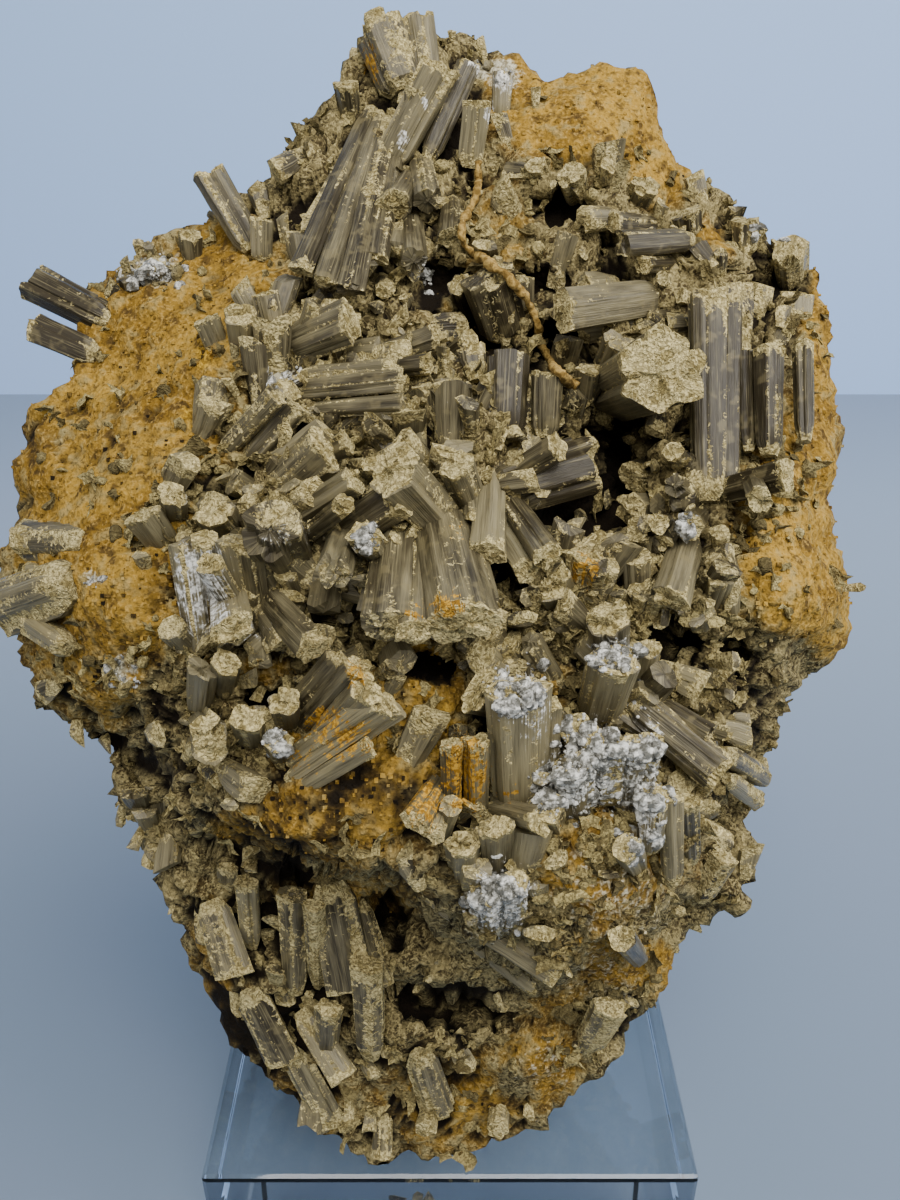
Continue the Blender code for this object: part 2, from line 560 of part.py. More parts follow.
def blow_up_stone(mesh, grow=0.0):
    """A finely divided cube, each of its corners moved out to the stone's surface or a little off it."""
    bmesh.ops.create_cube(mesh, size=2)
    bmesh.ops.subdivide_edges(mesh, edges=mesh.edges[:], cuts=STONE_CELLS, use_grid_fill=True)
    corners = np.array([corner.co for corner in mesh.verts])
    corners = np.tan(corners * math.pi / 4)
    corners /= np.linalg.norm(corners, axis=1, keepdims=True)
    for corner, place in zip(mesh.verts, world(stone_surface(corners)) * MM):
        corner.co = place
    bmesh.ops.triangulate(mesh, faces=mesh.faces, quad_method="FIXED")
    bmesh.ops.recalc_face_normals(mesh, faces=mesh.faces)
    mesh.normal_update()
    for corner in mesh.verts:
        corner.co += corner.normal * grow * MM


def foot_cutter(mesh):
    """A slab whose top is the stone's foot."""
    side, thick = 300 * MM, 60 * MM
    place = Matrix.Translation((0, 0, STONE_FOOT * MM - thick / 2)) @ Matrix.Diagonal((side, side, thick, 1))
    bmesh.ops.create_cube(mesh, matrix=place)


def make_cluster(name, rows, stone_cutter, earlier, parts, cutters, material):
    """One cluster joined with its seat, fitted on the stone and kept clear of the clusters made before it."""
    columns = group_columns(rows)
    pieces = new_collection(name + "_columns", cutters)
    clearance = new_collection(name + "_clearance", cutters)
    made = new_object(name, parts, lambda mesh: add_seat(mesh, rows, 0), material)
    new_cutter(name + "_seat_clearance", clearance, lambda mesh: add_seat(mesh, rows, GAP))
    for n, column in enumerate(columns):
        new_cutter(f"{name}_column_{n}", pieces, lambda mesh, c=column: add_column(mesh, c, 0))
        new_cutter(f"{name}_clearance_{n}", clearance, lambda mesh, c=column: add_column(mesh, c, GAP))
    add_boolean(made, "UNION", pieces, "grown_together")
    add_boolean(made, "DIFFERENCE", stone_cutter, "fitted_on_stone")
    ends = world(np.array([end for column in columns for end in column[:2]]))
    margin = max(column[2] for column in columns)
    box = (ends.min(axis=0) - margin, ends.max(axis=0) + margin)
    for other, (low, high) in earlier:
        if (box[0] < high).all() and (low < box[1]).all():
            add_boolean(made, "DIFFERENCE", other, "clear_of_neighbour")
    dropped = settle(made)
    earlier.append((clearance, box))
    print(f"{name}: {len(columns)} columns, {len(made.data.polygons)} faces, loose bits dropped {dropped}")
    return made


def main():
    for old in list(bpy.data.objects):
        bpy.data.objects.remove(old)
    parts = new_collection("aragonite_specimen", bpy.context.scene.collection)
    cutters = new_collection("cutters", bpy.context.scene.collection)
    cutters.hide_render = True
    smoky = new_material("smoky_aragonite", (0.20, 0.18, 0.14), 0.4)
    ochre = new_material("ochre_matrix", (0.42, 0.26, 0.08), 0.95)
    make_block(parts)
    stone_cutter = new_cutter("stone_clearance", cutters, lambda mesh: blow_up_stone(mesh, GAP))
    foot = new_cutter("foot_cutter", cutters, foot_cutter)
    earlier = []
    for name, rows in CLUSTERS.items():
        make_cluster(name, rows, stone_cutter, earlier, parts, cutters, smoky)

    columns = [column for rows in GROWN_ON.values() for column in group_columns(rows)]
    columns += [column for values in SPRAYS.values() for column in spray_columns(*values)]
    grown_on = new_cutter("grown_on", cutters, lambda mesh: add_column(mesh, columns[0], 0))
    others = new_collection("grown_on_columns", cutters)
    for n, column in enumerate(columns[1:]):
        new_cutter(f"grown_on_{n}", others, lambda mesh, c=column: add_column(mesh, c, 0))
    add_boolean(grown_on, "UNION", others, "grown_together")
    for clearance, _ in earlier:
        add_boolean(grown_on, "DIFFERENCE", clearance, "clear_of_cluster")
    stone = new_object("matrix", parts, blow_up_stone, ochre)
    add_boolean(stone, "UNION", grown_on, "grown_on")
    add_boolean(stone, "DIFFERENCE", foot, "flat_foot")
    dropped = settle(stone)
    print(f"matrix: {len(stone.data.polygons)} faces, loose bits dropped {dropped}")


main()
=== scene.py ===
# %% [markdown]
# # Columnar aragonite on a clear block
# Aragonite grows as thin parallel needles packed into six-sided columns. Here they are smoky and a little
# see-through, their ends are rough and cream coloured, and they stand in every direction on an earthy,
# ochre rock full of dark hollows. The whole stone stands on a block of clear acrylic.
#
# The model is built in this order: the rock, the columns, then everything small that lies between them.
# Each shape is a formula over a grid of two parameters, worked out for all points at once with numpy.

import math

import bpy
import numpy as np
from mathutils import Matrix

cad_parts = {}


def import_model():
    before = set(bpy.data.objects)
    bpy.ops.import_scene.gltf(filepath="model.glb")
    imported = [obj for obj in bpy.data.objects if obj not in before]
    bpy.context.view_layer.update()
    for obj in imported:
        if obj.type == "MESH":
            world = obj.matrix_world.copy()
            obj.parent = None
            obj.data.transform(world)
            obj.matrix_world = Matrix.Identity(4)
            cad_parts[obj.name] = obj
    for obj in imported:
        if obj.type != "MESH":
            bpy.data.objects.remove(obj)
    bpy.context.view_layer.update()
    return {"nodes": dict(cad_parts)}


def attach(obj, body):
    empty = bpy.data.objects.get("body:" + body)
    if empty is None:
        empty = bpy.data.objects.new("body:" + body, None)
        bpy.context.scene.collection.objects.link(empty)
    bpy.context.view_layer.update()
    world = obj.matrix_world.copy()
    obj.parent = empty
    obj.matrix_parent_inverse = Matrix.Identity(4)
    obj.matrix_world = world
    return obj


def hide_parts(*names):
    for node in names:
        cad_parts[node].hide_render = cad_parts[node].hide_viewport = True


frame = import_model()

# %% [markdown]
# ## The layout sheet
# Places on the stone are given on a flat sheet of 900 x 1200 steps that leans back 28 degrees in front of
# it. A step is an eighth of a millimetre. A height is raised towards one point 125 mm in front of the
# sheet, so that what is drawn on the sheet keeps its place when it is seen from there. That makes it easy
# to lay out some two hundred columns one by one: each is a root, a tip, a width and a height.

# %% The layout sheet
STEP = 0.125
SHEET_MIDDLE = (450, 600)
SHEET_LEAN = math.radians(28)
SHEET_ORIGIN = np.array([0.0, -18.7, 108.3])
SHEET_REACH = 125.0
ACROSS = np.array([1.0, 0.0, 0.0])
UP = np.array([0.0, math.sin(SHEET_LEAN), math.cos(SHEET_LEAN)])
OUT = np.array([0.0, -math.cos(SHEET_LEAN), math.sin(SHEET_LEAN)])


def sheet_point(x, y, height):
    """A step of the sheet raised by a height: (x - 450, 600 - y) steps, drawn in by 1 - height / reach."""
    draw_in = (SHEET_REACH - height) / SHEET_REACH
    across = (np.asarray(x, float) - SHEET_MIDDLE[0]) * STEP * draw_in
    up = (SHEET_MIDDLE[1] - np.asarray(y, float)) * STEP * draw_in
    return np.stack([across, up, height + 0 * across], axis=-1)


def sheet_place(points):
    """The step of the sheet that a point lies over: sheet_point turned round."""
    draw_in = STEP * (SHEET_REACH - points[..., 2]) / SHEET_REACH
    return SHEET_MIDDLE[0] + points[..., 0] / draw_in, SHEET_MIDDLE[1] - points[..., 1] / draw_in


def world(point):
    """Across, up and out of the sheet, as world x, y and z in millimetres."""
    return SHEET_ORIGIN + point[..., :1] * ACROSS + point[..., 1:2] * UP + point[..., 2:] * OUT


# %% [markdown]
# ## Noise
# Rock is rough at every size. Two kinds of fixed pseudo-random pattern make all of it. Smooth noise blends
# random values between the corners of a cubic lattice. Cell noise scatters one seed in each cube and
# measures the distance to the nearest and second nearest, which gives nodules, blocks and cracks.


# %% Noise
def lattice(cell, seed):
    """One fixed value from -1 to 1 for each whole-number cell: its three numbers scrambled together."""
    i, j, k = (cell[..., n].astype(np.int64) for n in range(3))
    mixed = (i * 73856093) ^ (j * 19349663) ^ (k * 83492791) ^ (seed * 2654435761)
    mixed = ((mixed & 0xFFFFFFFF) * 1103515245 + 12345) & 0x7FFFFFFF
    mixed = ((mixed >> 7) * 69069 + 1) & 0xFFFFFF
    return mixed / 0x7FFFFF - 1.0


def noise(points, size, seed):
    """Smooth bumps about `size` apart: lattice values blended between the eight corners of each cell."""
    scaled = np.asarray(points, float) / size
    cell = np.floor(scaled)
    part = scaled - cell
    part = part * part * (3 - 2 * part)
    total = 0.0
    for corner in np.ndindex(2, 2, 2):
        weight = np.prod(np.where(corner, part, 1 - part), axis=-1)
        total = total + weight * lattice(cell + np.array(corner), seed)
    return total


def cells(points, size, seed):
    """Distance to the nearest two scattered seeds, in cell sizes, and the nearest one's value."""
    scaled = np.asarray(points, float) / size
    home = np.floor(scaled)
    first = np.full(scaled.shape[:-1], 9.0)
    second, value = first.copy(), 0 * first
    for step in np.ndindex(3, 3, 3):
        cell = home + np.array(step) - 1
        place = cell + 0.5 + 0.42 * np.stack([lattice(cell, seed + n) for n in range(3)], axis=-1)
        away = np.linalg.norm(scaled - place, axis=-1)
        nearer = away < first
        second = np.where(nearer, first, np.minimum(second, away))
        value = np.where(nearer, lattice(cell, seed + 3), value)
        first = np.where(nearer, away, first)
    return first, second, value


def smooth_step(value, low, high):
    """0 below low, 1 above high, and the S-shaped cubic 3t^2 - 2t^3 between."""
    part = np.clip((value - low) / (high - low), 0, 1)
    return part * part * (3 - 2 * part)


# %% [markdown]
# ## The stone's overall form
# The solid model's form is repeated here from the same dimensions: an outline on the sheet, the height of
# the front down its middle line, a ledge that overhangs the foot, and the larger lumps and pits. It could be
# sculpted by hand instead, but a formula stays on the solid and can be worked out at any fineness.

# %% The stone's form
OUTLINE_MIDDLE = (440, 590)  # the step from which the outline is measured
INNER_MIDDLE = np.array([-5.0, -8.0, -26.0])  # inside the stone: across, up and out of the sheet
BACK_HEIGHT = -66.0  # the back's height at the middle of the sheet
BACK_LEAN = 0.29  # how much the back comes forward for each millimetre up
BACK_ROUND = 0.8  # under 1 makes the back squarer than an ellipse
EDGE_POWER, EDGE_ROUND = 6, 0.4  # how sharply the front turns over at the outline
OUTLINE = [
    (392, 18), (432, 26), (480, 44), (522, 58), (548, 80), (590, 70), (645, 80), (662, 140), (690, 196),
    (740, 212), (790, 242), (816, 268), (826, 330), (826, 400), (840, 468), (826, 500), (838, 550),
    (850, 603), (842, 645), (800, 672), (782, 705), (765, 755), (770, 790), (752, 830), (762, 862),
    (742, 902), (696, 926), (680, 958), (632, 1032), (590, 1080), (545, 1130), (480, 1148), (440, 1162),
    (402, 1154), (380, 1172), (345, 1152), (294, 1100), (230, 1042), (210, 980), (163, 868), (110, 750),
    (76, 722), (40, 708), (32, 655), (16, 600), (10, 530), (2, 470), (26, 428), (72, 382), (94, 300),
    (145, 254), (205, 226), (260, 188), (282, 148), (314, 104), (350, 52),
]
# The outline's height out of the sheet, by angle from the right, anticlockwise.
RIM_ANGLES = [0, 30, 60, 90, 120, 150, 180, 200, 230, 250, 265, 285, 300, 320, 340, 360]
RIM_HEIGHTS = [-12, -12, -15, -19, -14, -7, -9, -12, -20, -24, -28, -26, -20, -16, -14, -12]

# The front's height from the top of the sheet to its foot, above and below the ledge.
FRONT_ROWS = [10, 100, 200, 300, 450, 600, 850, 930, 1020]
FRONT_HEIGHTS = [-18, -13, -7, 0, 9, 15, 15, 11, 3]
FRONT_FALL = 11.0  # how much lower the front is at its sides
UNDER_ROWS = [650, 900, 1000, 1080, 1165]
UNDER_HEIGHTS = [-8, -9, -13, -20, -28]
UNDER_FALL = 6.0
SIDE_REACH = 400  # steps from the middle to the sides, for both falls
# The ledge that overhangs the stone's foot: its row on the sheet by column, and its width in steps.
LEDGE_COLUMNS = [10, 130, 180, 300, 400, 490, 560, 630, 680, 720, 750, 795, 850]
LEDGE_ROWS = [695, 720, 830, 862, 882, 940, 982, 945, 900, 800, 760, 660, 640]
LEDGE_WIDTH = 56

# Lumps (height over zero) and pits of the front: x, y, half width, half height, height.
LUMPS = [
    (585, 140, 85, 75, 5.0), (800, 545, 50, 110, 6.5), (340, 805, 85, 48, 5.0), (400, 720, 45, 60, 2.0),
    (610, 880, 75, 75, 4.5), (235, 330, 80, 60, 3.5), (110, 590, 60, 70, 4.5), (35, 470, 25, 32, 4.0),
    (150, 470, 60, 50, 3.0), (710, 250, 26, 22, 5.0), (540, 1068, 36, 34, 5.0), (430, 1120, 28, 22, 4.0),
    (420, 1050, 40, 28, 4.0), (330, 920, 40, 30, 4.0), (450, 950, 60, 25, 3.5), (640, 960, 40, 30, 4.0),
    (245, 980, 30, 50, 4.0), (180, 880, 30, 40, 3.0), (725, 880, 26, 28, 4.0), (330, 1060, 40, 40, 4.0),
    (475, 325, 28, 28, -9.0), (570, 340, 32, 22, -9.0), (560, 205, 17, 12, -5.0), (542, 285, 19, 16, -6.0),
    (622, 462, 32, 58, -13.0), (505, 576, 17, 17, -11.0), (355, 630, 16, 24, -9.0), (676, 646, 20, 16, -11.0),
    (257, 695, 16, 13, -8.0), (302, 875, 12, 16, -9.0), (448, 1003, 58, 15, -11.0), (437, 1102, 15, 27, -7.0),
    (775, 284, 30, 15, -7.0), (262, 928, 12, 28, -7.0), (385, 912, 20, 18, -9.0), (148, 760, 14, 20, -6.0),
    (425, 665, 30, 12, -6.0), (735, 655, 12, 10, -4.0), (440, 285, 18, 14, -5.0),
]
# Roughness of the whole surface: size of the bumps, their height in front, how much more behind, a seed.
ROUGHNESS = [(27.0, 0.6, 3.2, 2), (15.0, 1.5, 1.4, 3), (8.0, 1.0, 0.7, 5)]
# Flat breaks across the back and sides: the way each faces, and how far it lies from the inner middle.
BREAKS = [
    ((-0.60, 0.10, -0.79), 41), ((0.66, -0.12, -0.74), 40), ((0.05, -0.62, -0.78), 72),
    ((0.12, 0.80, -0.58), 66), ((0.84, -0.42, -0.34), 46), ((-0.82, -0.46, -0.34), 45),
    ((-0.45, 0.72, -0.52), 57), ((0.75, 0.55, -0.37), 52),
]
BREAK_FLAT = 0.85  # how nearly flat a break is
BREAK_START = 0.35  # how far round the back, from 0 at the outline to 1, a break reaches its full depth


# %% The stone's surface
def front_height(x, y):
    """The front's height at a step of the sheet: a crowned face, a ledge, the foot under it, lumps, pits."""
    side = ((x - SHEET_MIDDLE[0]) / SIDE_REACH) ** 2
    over = np.interp(y, FRONT_ROWS, FRONT_HEIGHTS) - FRONT_FALL * side
    under = np.interp(y, UNDER_ROWS, UNDER_HEIGHTS) - UNDER_FALL * side
    ledge = np.interp(x, LEDGE_COLUMNS, LEDGE_ROWS)
    height = under + (over - under) * smooth_step((ledge - y) / LEDGE_WIDTH + 0.5, 0, 1)
    for middle_x, middle_y, half_x, half_y, lump in LUMPS:
        away = ((x - middle_x) / half_x) ** 2 + ((y - middle_y) / half_y) ** 2
        height = height + lump * np.exp(-0.7 * away**1.5)
    return height


def outline_reach(turn):
    """The outline's distance from its middle, in steps, in each direction."""
    steps = np.array(OUTLINE, float) - OUTLINE_MIDDLE
    angles = np.arctan2(-steps[:, 1], steps[:, 0])
    order = np.argsort(angles)
    return np.interp(turn, angles[order], np.hypot(*steps[order].T), period=2 * math.pi)


def stone_surface(directions):
    """The stone's surface in each direction: across, up and out.

    The angle from the front, over a right angle, is how far out the point lies. Up to 1 it lies on the
    front, whose height falls to the rim's at the outline as (1 - share^6)^0.4. From 1 to 2 it follows a
    squared-off ellipse round the back, which flat breaks cut.
    """
    turn = np.arctan2(directions[:, 1], directions[:, 0])
    lean = np.arccos(np.clip(directions[:, 2], -1, 1)) / (math.pi / 2)
    reach = outline_reach(turn)
    rim = np.interp(np.degrees(turn) % 360, RIM_ANGLES, RIM_HEIGHTS)
    share = np.minimum(lean, 1)
    x = OUTLINE_MIDDLE[0] + share * reach * np.cos(turn)
    y = OUTLINE_MIDDLE[1] - share * reach * np.sin(turn)
    edge = (1 - share**EDGE_POWER) ** EDGE_ROUND
    front = sheet_point(x, y, rim + (front_height(x, y) - rim) * edge)
    round_back = np.clip(lean - 1, 0, 1) * math.pi / 2
    narrowing = np.cos(round_back)[:, None] ** BACK_ROUND
    in_plane = INNER_MIDDLE[:2] + (front[:, :2] - INNER_MIDDLE[:2]) * narrowing
    depth = np.sin(round_back) ** BACK_ROUND
    back = np.column_stack([in_plane, rim + (BACK_HEIGHT + BACK_LEAN * in_plane[:, 1] - rim) * depth])
    flat = BREAK_FLAT * np.clip((lean - 1) / BREAK_START, 0, 1)
    for facing, distance in BREAKS:
        facing = np.array(facing) / np.linalg.norm(facing)
        past = np.maximum((back - INNER_MIDDLE) @ facing - distance, 0)
        back = back - facing * (past * flat)[:, None]
    points = np.where(lean[:, None] <= 1, front, back)
    outward = unit(points - INNER_MIDDLE)
    behind = np.clip((lean - 1.1) * 2.5, 0, 1)
    for size, height, more, seed in ROUGHNESS:
        points = points + outward * ((height + more * behind) * noise(points, size, seed))[:, None]
    return points


def unit(vectors):
    """Each vector over its own length."""
    return vectors / np.maximum(np.linalg.norm(vectors, axis=-1, keepdims=True), 1e-9)


# %% [markdown]
# ## From arrays to a mesh
# A closed surface needs a grid with no seam. The stone uses a cube whose six faces are gridded and then
# blown up: `cube_sphere` numbers the corners so that neighbouring faces share theirs. A round sphere's grid
# would crowd its triangles at two poles. A tube or a column uses a grid that wraps round, with a single
# point closing each end.


# %% Grids and meshes
def cube_sphere(count):
    """Directions of a gridded cube's corners, and its quads, both worked out from whole-number places.

    A place p from -1 to 1 is moved to tan(p pi / 4), which keeps the cells even on the sphere.
    """
    line = np.arange(count + 1)
    u, v = (side.ravel() for side in np.meshgrid(line, line, indexing="ij"))
    faces = []
    for axis in range(3):
        for end in (0, count):
            face = np.empty((len(u), 3), int)
            face[:, axis] = end
            face[:, (axis + 1) % 3] = u if end else v
            face[:, (axis + 2) % 3] = v if end else u
            faces.append(face)
    places, number = np.unique(np.concatenate(faces), axis=0, return_inverse=True)
    number = number.reshape(6, count + 1, count + 1)
    corners = [number[:, :-1, :-1], number[:, 1:, :-1], number[:, 1:, 1:], number[:, :-1, 1:]]
    quads = np.stack(corners, axis=-1)
    return unit(np.tan((places / count * 2 - 1) * math.pi / 4)), quads.reshape(-1, 4)


def tube_faces(rows, around):
    """Triangles of a grid that wraps round, its first and last rows closed to two points that follow it."""
    ring = np.arange(around)
    after = (ring + 1) % around
    low = np.arange(rows - 1)[:, None] * around
    a, b, c, d = (low + ring, low + after, low + around + after, low + around + ring)
    sides = np.concatenate([np.stack([a, b, c], -1).reshape(-1, 3), np.stack([a, c, d], -1).reshape(-1, 3)])
    root, tip, last = rows * around, rows * around + 1, (rows - 1) * around
    root_fan = np.stack([after, ring, np.full(around, root)], -1)
    tip_fan = np.stack([last + ring, last + after, np.full(around, tip)], -1)
    return np.concatenate([sides, root_fan, tip_fan])


def vertex_normals(points, faces):
    """Each corner's direction out of the surface: the sum of its faces' cross products of diagonals."""
    last = faces[:, 3 % faces.shape[1]]
    across = np.cross(points[faces[:, 2]] - points[faces[:, 0]], points[last] - points[faces[:, 1]])
    total = np.zeros_like(points)
    for corner in range(faces.shape[1]):
        np.add.at(total, faces[:, corner], across)
    return unit(total)


def add_piece(name, points, faces, material, coat=None, fibres=None, smooth=True, sharp=None):
    """Makes an object from arrays: points in sheet millimetres, faces, a colour attribute and a UV map."""
    mesh = bpy.data.meshes.new(name)
    mesh.vertices.add(len(points))
    mesh.vertices.foreach_set("co", (world(points) / 1000).astype(np.float32).ravel())
    mesh.loops.add(faces.size)
    mesh.loops.foreach_set("vertex_index", faces.astype(np.int32).ravel())
    mesh.polygons.add(len(faces))
    mesh.polygons.foreach_set("loop_start", np.arange(0, faces.size, faces.shape[1], dtype=np.int32))
    mesh.update(calc_edges=True)
    mesh.polygons.foreach_set("use_smooth", np.full(len(faces), smooth))
    if coat is not None:
        channels = mesh.attributes.new("coat", "FLOAT_COLOR", "POINT")
        channels.data.foreach_set("color", coat.astype(np.float32).ravel())
    if fibres is not None:
        places = mesh.uv_layers.new(name="fibres")
        places.data.foreach_set("uv", fibres[faces.ravel()].astype(np.float32).ravel())
    if sharp is not None:
        mesh.set_sharp_from_angle(angle=math.radians(sharp))
    mesh.materials.append(material)
    made = bpy.data.objects.new(name, mesh)
    bpy.context.scene.collection.objects.link(made)
    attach(made, "root")
    triangles = len(faces) * (faces.shape[1] - 2)
    print(f"{name}: {triangles} triangles")
    return made


def join(surfaces):
    """Several surfaces as one: their points and coats end to end, their faces renumbered."""
    starts = np.cumsum([0] + [len(surface[0]) for surface in surfaces[:-1]])
    faces = np.concatenate([surface[1] + start for surface, start in zip(surfaces, starts)])
    return (np.concatenate([surface[0] for surface in surfaces]), faces) + tuple(
        np.concatenate([surface[n] for surface in surfaces]) for n in range(2, len(surfaces[0]))
    )


# %% [markdown]
# ## Finishes
# Colours are written as sRGB hex values, the way a swatch is, and turned to linear light by one function.
# One small function adds a shader node with its settings and its links. Most finishes here are layers: a
# colour, and another over it that comes in where a pattern is high. Where a soft mask limits a layer, the
# pattern is added to the mask first, so that the layer's edge is ragged.
#
# Every mineral surface carries a colour attribute called coat: red is how much rough crust covers it, green
# how much orange stain, blue how much white frost, with a few painted glints on the columns, and alpha a tint
# that differs from piece to piece, lowered in places as painted shade.


# %% Colours and nodes
MM = 1000.0  # a pattern's scale in Object coordinates is this over its size in millimetres


def linear(hex_colour):
    """An sRGB hex colour as linear red, green, blue and 1: the curve is ((c + 0.055) / 1.055)^2.4."""
    parts = np.array([int(hex_colour[n : n + 2], 16) / 255 for n in (1, 3, 5)])
    parts = np.where(parts <= 0.04045, parts / 12.92, ((parts + 0.055) / 1.055) ** 2.4)
    return (*parts, 1.0)


def new_finish(name):
    """An empty material and its node tree."""
    made = bpy.data.materials.new(name)
    made.use_nodes = True
    made.node_tree.nodes.clear()
    return made, made.node_tree


def add_node(tree, kind, links=None, output=0, **settings):
    """Adds a shader node and gives one of its outputs.

    A link's value is another node's output, or a number or colour for the socket.
    """
    made = tree.nodes.new("ShaderNode" + kind)
    for name, value in settings.items():
        setattr(made, name, value)
    for name, value in (links or {}).items():
        socket = made.inputs[name]
        if isinstance(value, bpy.types.NodeSocket):
            tree.links.new(value, socket)
        else:
            socket.default_value = value
    return made.outputs[output] if len(made.outputs) else None


def layer(tree, pattern, low, high, under, over, most=1.0):
    """The colour under, and over it another that comes in smoothly as the pattern goes from low to high."""
    span = {"Value": pattern, "From Min": low, "From Max": high, "To Max": most}
    share = add_node(tree, "MapRange", span, interpolation_type="SMOOTHSTEP")
    return add_node(tree, "Mix", {0: share, 6: under, 7: over}, output=2, data_type="RGBA")


def ragged_layer(tree, mask, pattern, weight, low, high, under, over):
    """A layer where a soft mask is high, its edge torn by the pattern times a weight."""
    torn = add_node(tree, "Math", {0: pattern, 1: weight, 2: mask}, operation="MULTIPLY_ADD")
    return layer(tree, torn, low, high, under, over)


def grains_of(tree, sizes, detail=2.0):
    """Noise in Object coordinates at each of several sizes in millimetres."""
    where = add_node(tree, "TexCoord", output="Object")
    links = [{"Vector": where, "Scale": MM / size, "Detail": detail, "Roughness": 0.6} for size in sizes]
    return [add_node(tree, "TexNoise", each, output="Fac") for each in links]


def curls_of(tree, size_mm):
    """Thin curly lines: 1 where a wrung-out noise crosses its middle value, 0 a little to either side."""
    where = add_node(tree, "TexCoord", output="Object")
    links = {"Vector": where, "Scale": MM / size_mm, "Detail": 2.0, "Distortion": 1.2}
    wrung = add_node(tree, "TexNoise", links, output="Fac")
    off = add_node(tree, "Math", {0: wrung, 1: 0.5}, operation="SUBTRACT")
    off = add_node(tree, "Math", {0: off}, operation="ABSOLUTE")
    span = {"Value": off, "From Min": 0.07, "From Max": 0.015}
    return add_node(tree, "MapRange", span, interpolation_type="SMOOTHSTEP")


def coat_channels(tree):
    """The coat attribute's four channels: crust, stain, frost and tint."""
    coat = add_node(tree, "Attribute", output="Color", attribute_name="coat")
    parts = [add_node(tree, "SeparateColor", {0: coat}, output=n) for n in range(3)]
    return *parts, add_node(tree, "Attribute", output="Alpha", attribute_name="coat")


# %% [markdown]
# ### Earthy ochre rock
# Limonite-stained clay and calcite, broken by hand and never cut. It is matt and granular: grains of about
# 0.5 mm show as light and dark specks. Hollows, low places and the shade under the ledge are painted nearly
# black, as painted shade. Where the rock is made of broken crystals it turns grey, with cream crust in curly
# lines. Here red in the coat is how crystalline it is, green the yellow and orange stain, blue the pale and
# silvery patches, and alpha how shallow and open the point is: low alpha is painted shade.


# %% Earthy ochre rock
def make_ochre_rock():
    """Earth or broken crystals, then stain and pale patches, then painted shade in the deep places."""
    made, tree = new_finish("earthy_ochre_rock")
    crystalline, stain, pale, shallow_for_painted_shade = coat_channels(tree)
    wide, clod, crumb, speck = grains_of(tree, (9.0, 2.4, 1.1, 0.55))
    curls = curls_of(tree, 1.6)
    earth = layer(tree, wide, 0.36, 0.64, linear("#74581B"), linear("#967730"))
    earth = layer(tree, clod, 0.5, 0.7, earth, linear("#8D7D50"), 0.8)
    earth = layer(tree, clod, 0.48, 0.32, earth, linear("#49381A"), 0.9)
    earth = layer(tree, speck, 0.5, 0.7, earth, linear("#AE8F4E"), 0.6)
    earth = layer(tree, speck, 0.46, 0.31, earth, linear("#3B2B10"), 0.6)
    broken = layer(tree, clod, 0.36, 0.64, linear("#3B321E"), linear("#756A48"))
    broken = layer(tree, curls, 0.2, 0.9, broken, linear("#96895E"), 0.55)
    broken = layer(tree, speck, 0.52, 0.7, broken, linear("#A29468"), 0.9)
    broken = layer(tree, speck, 0.46, 0.31, broken, linear("#221B0F"), 0.9)
    colour = ragged_layer(tree, crystalline, clod, 1.0, 0.8, 1.3, earth, broken)
    stained = layer(tree, speck, 0.4, 0.6, linear("#86661A"), linear("#BA9638"))
    colour = ragged_layer(tree, stain, crumb, 1.0, 1.1, 1.45, colour, stained)
    whitish = layer(tree, speck, 0.4, 0.62, linear("#7D7660"), linear("#BDB79F"))
    colour = ragged_layer(tree, pale, crumb, 0.9, 0.8, 1.1, colour, whitish)
    # Painted shade: the deep and shaded places turn nearly black.
    colour = layer(tree, shallow_for_painted_shade, 0.5, 0.1, colour, linear("#150F07"))
    relief = {}
    for pattern, height, strength in [(clod, 0.7, 0.8), (crumb, 0.4, 0.8), (speck, 0.25, 0.9)]:
        relief.update({"Height": pattern, "Distance": height / MM, "Strength": strength})
        relief["Normal"] = add_node(tree, "Bump", relief, output="Normal")
    earthy = {"Roughness": 0.95, "IOR": 1.5, "Specular IOR Level": 0.15}
    shader = add_node(tree, "BsdfPrincipled", {"Base Color": colour, **earthy, "Normal": relief["Normal"]})
    add_node(tree, "OutputMaterial", {"Surface": shader})
    return made


# %% [markdown]
# ### Dry crust
# The same cream coat lies on the column ends, on their edges and in lumps and curled plates between them.
# It is dead matt, made of granules a third of a millimetre wide with dark gaps, and piled up in curls. As
# faces the granules would need millions, so here they are a pattern: scattered cells and a fine noise.


# %% Dry crust
def crust_layers(tree, light, middle, dark):
    """The crust's colour and the height of its relief."""
    blotch, fleck = grains_of(tree, (1.8, 0.45))
    curls = curls_of(tree, 1.3)
    where = add_node(tree, "TexCoord", output="Object")
    gap = add_node(tree, "TexVoronoi", {"Vector": where, "Scale": MM / 0.38}, output="Distance")
    colour = layer(tree, blotch, 0.36, 0.64, linear(middle), linear(light))
    colour = layer(tree, gap, 0.38, 0.62, colour, linear(dark), 0.55)
    colour = layer(tree, fleck, 0.46, 0.3, colour, linear(dark), 0.5)
    colour = layer(tree, curls, 0.3, 0.9, colour, linear(light), 0.6)
    height = add_node(tree, "Math", {0: fleck, 1: 1.7}, operation="MULTIPLY")
    return colour, add_node(tree, "Math", {0: curls, 1: 0.5, 2: height}, operation="MULTIPLY_ADD")


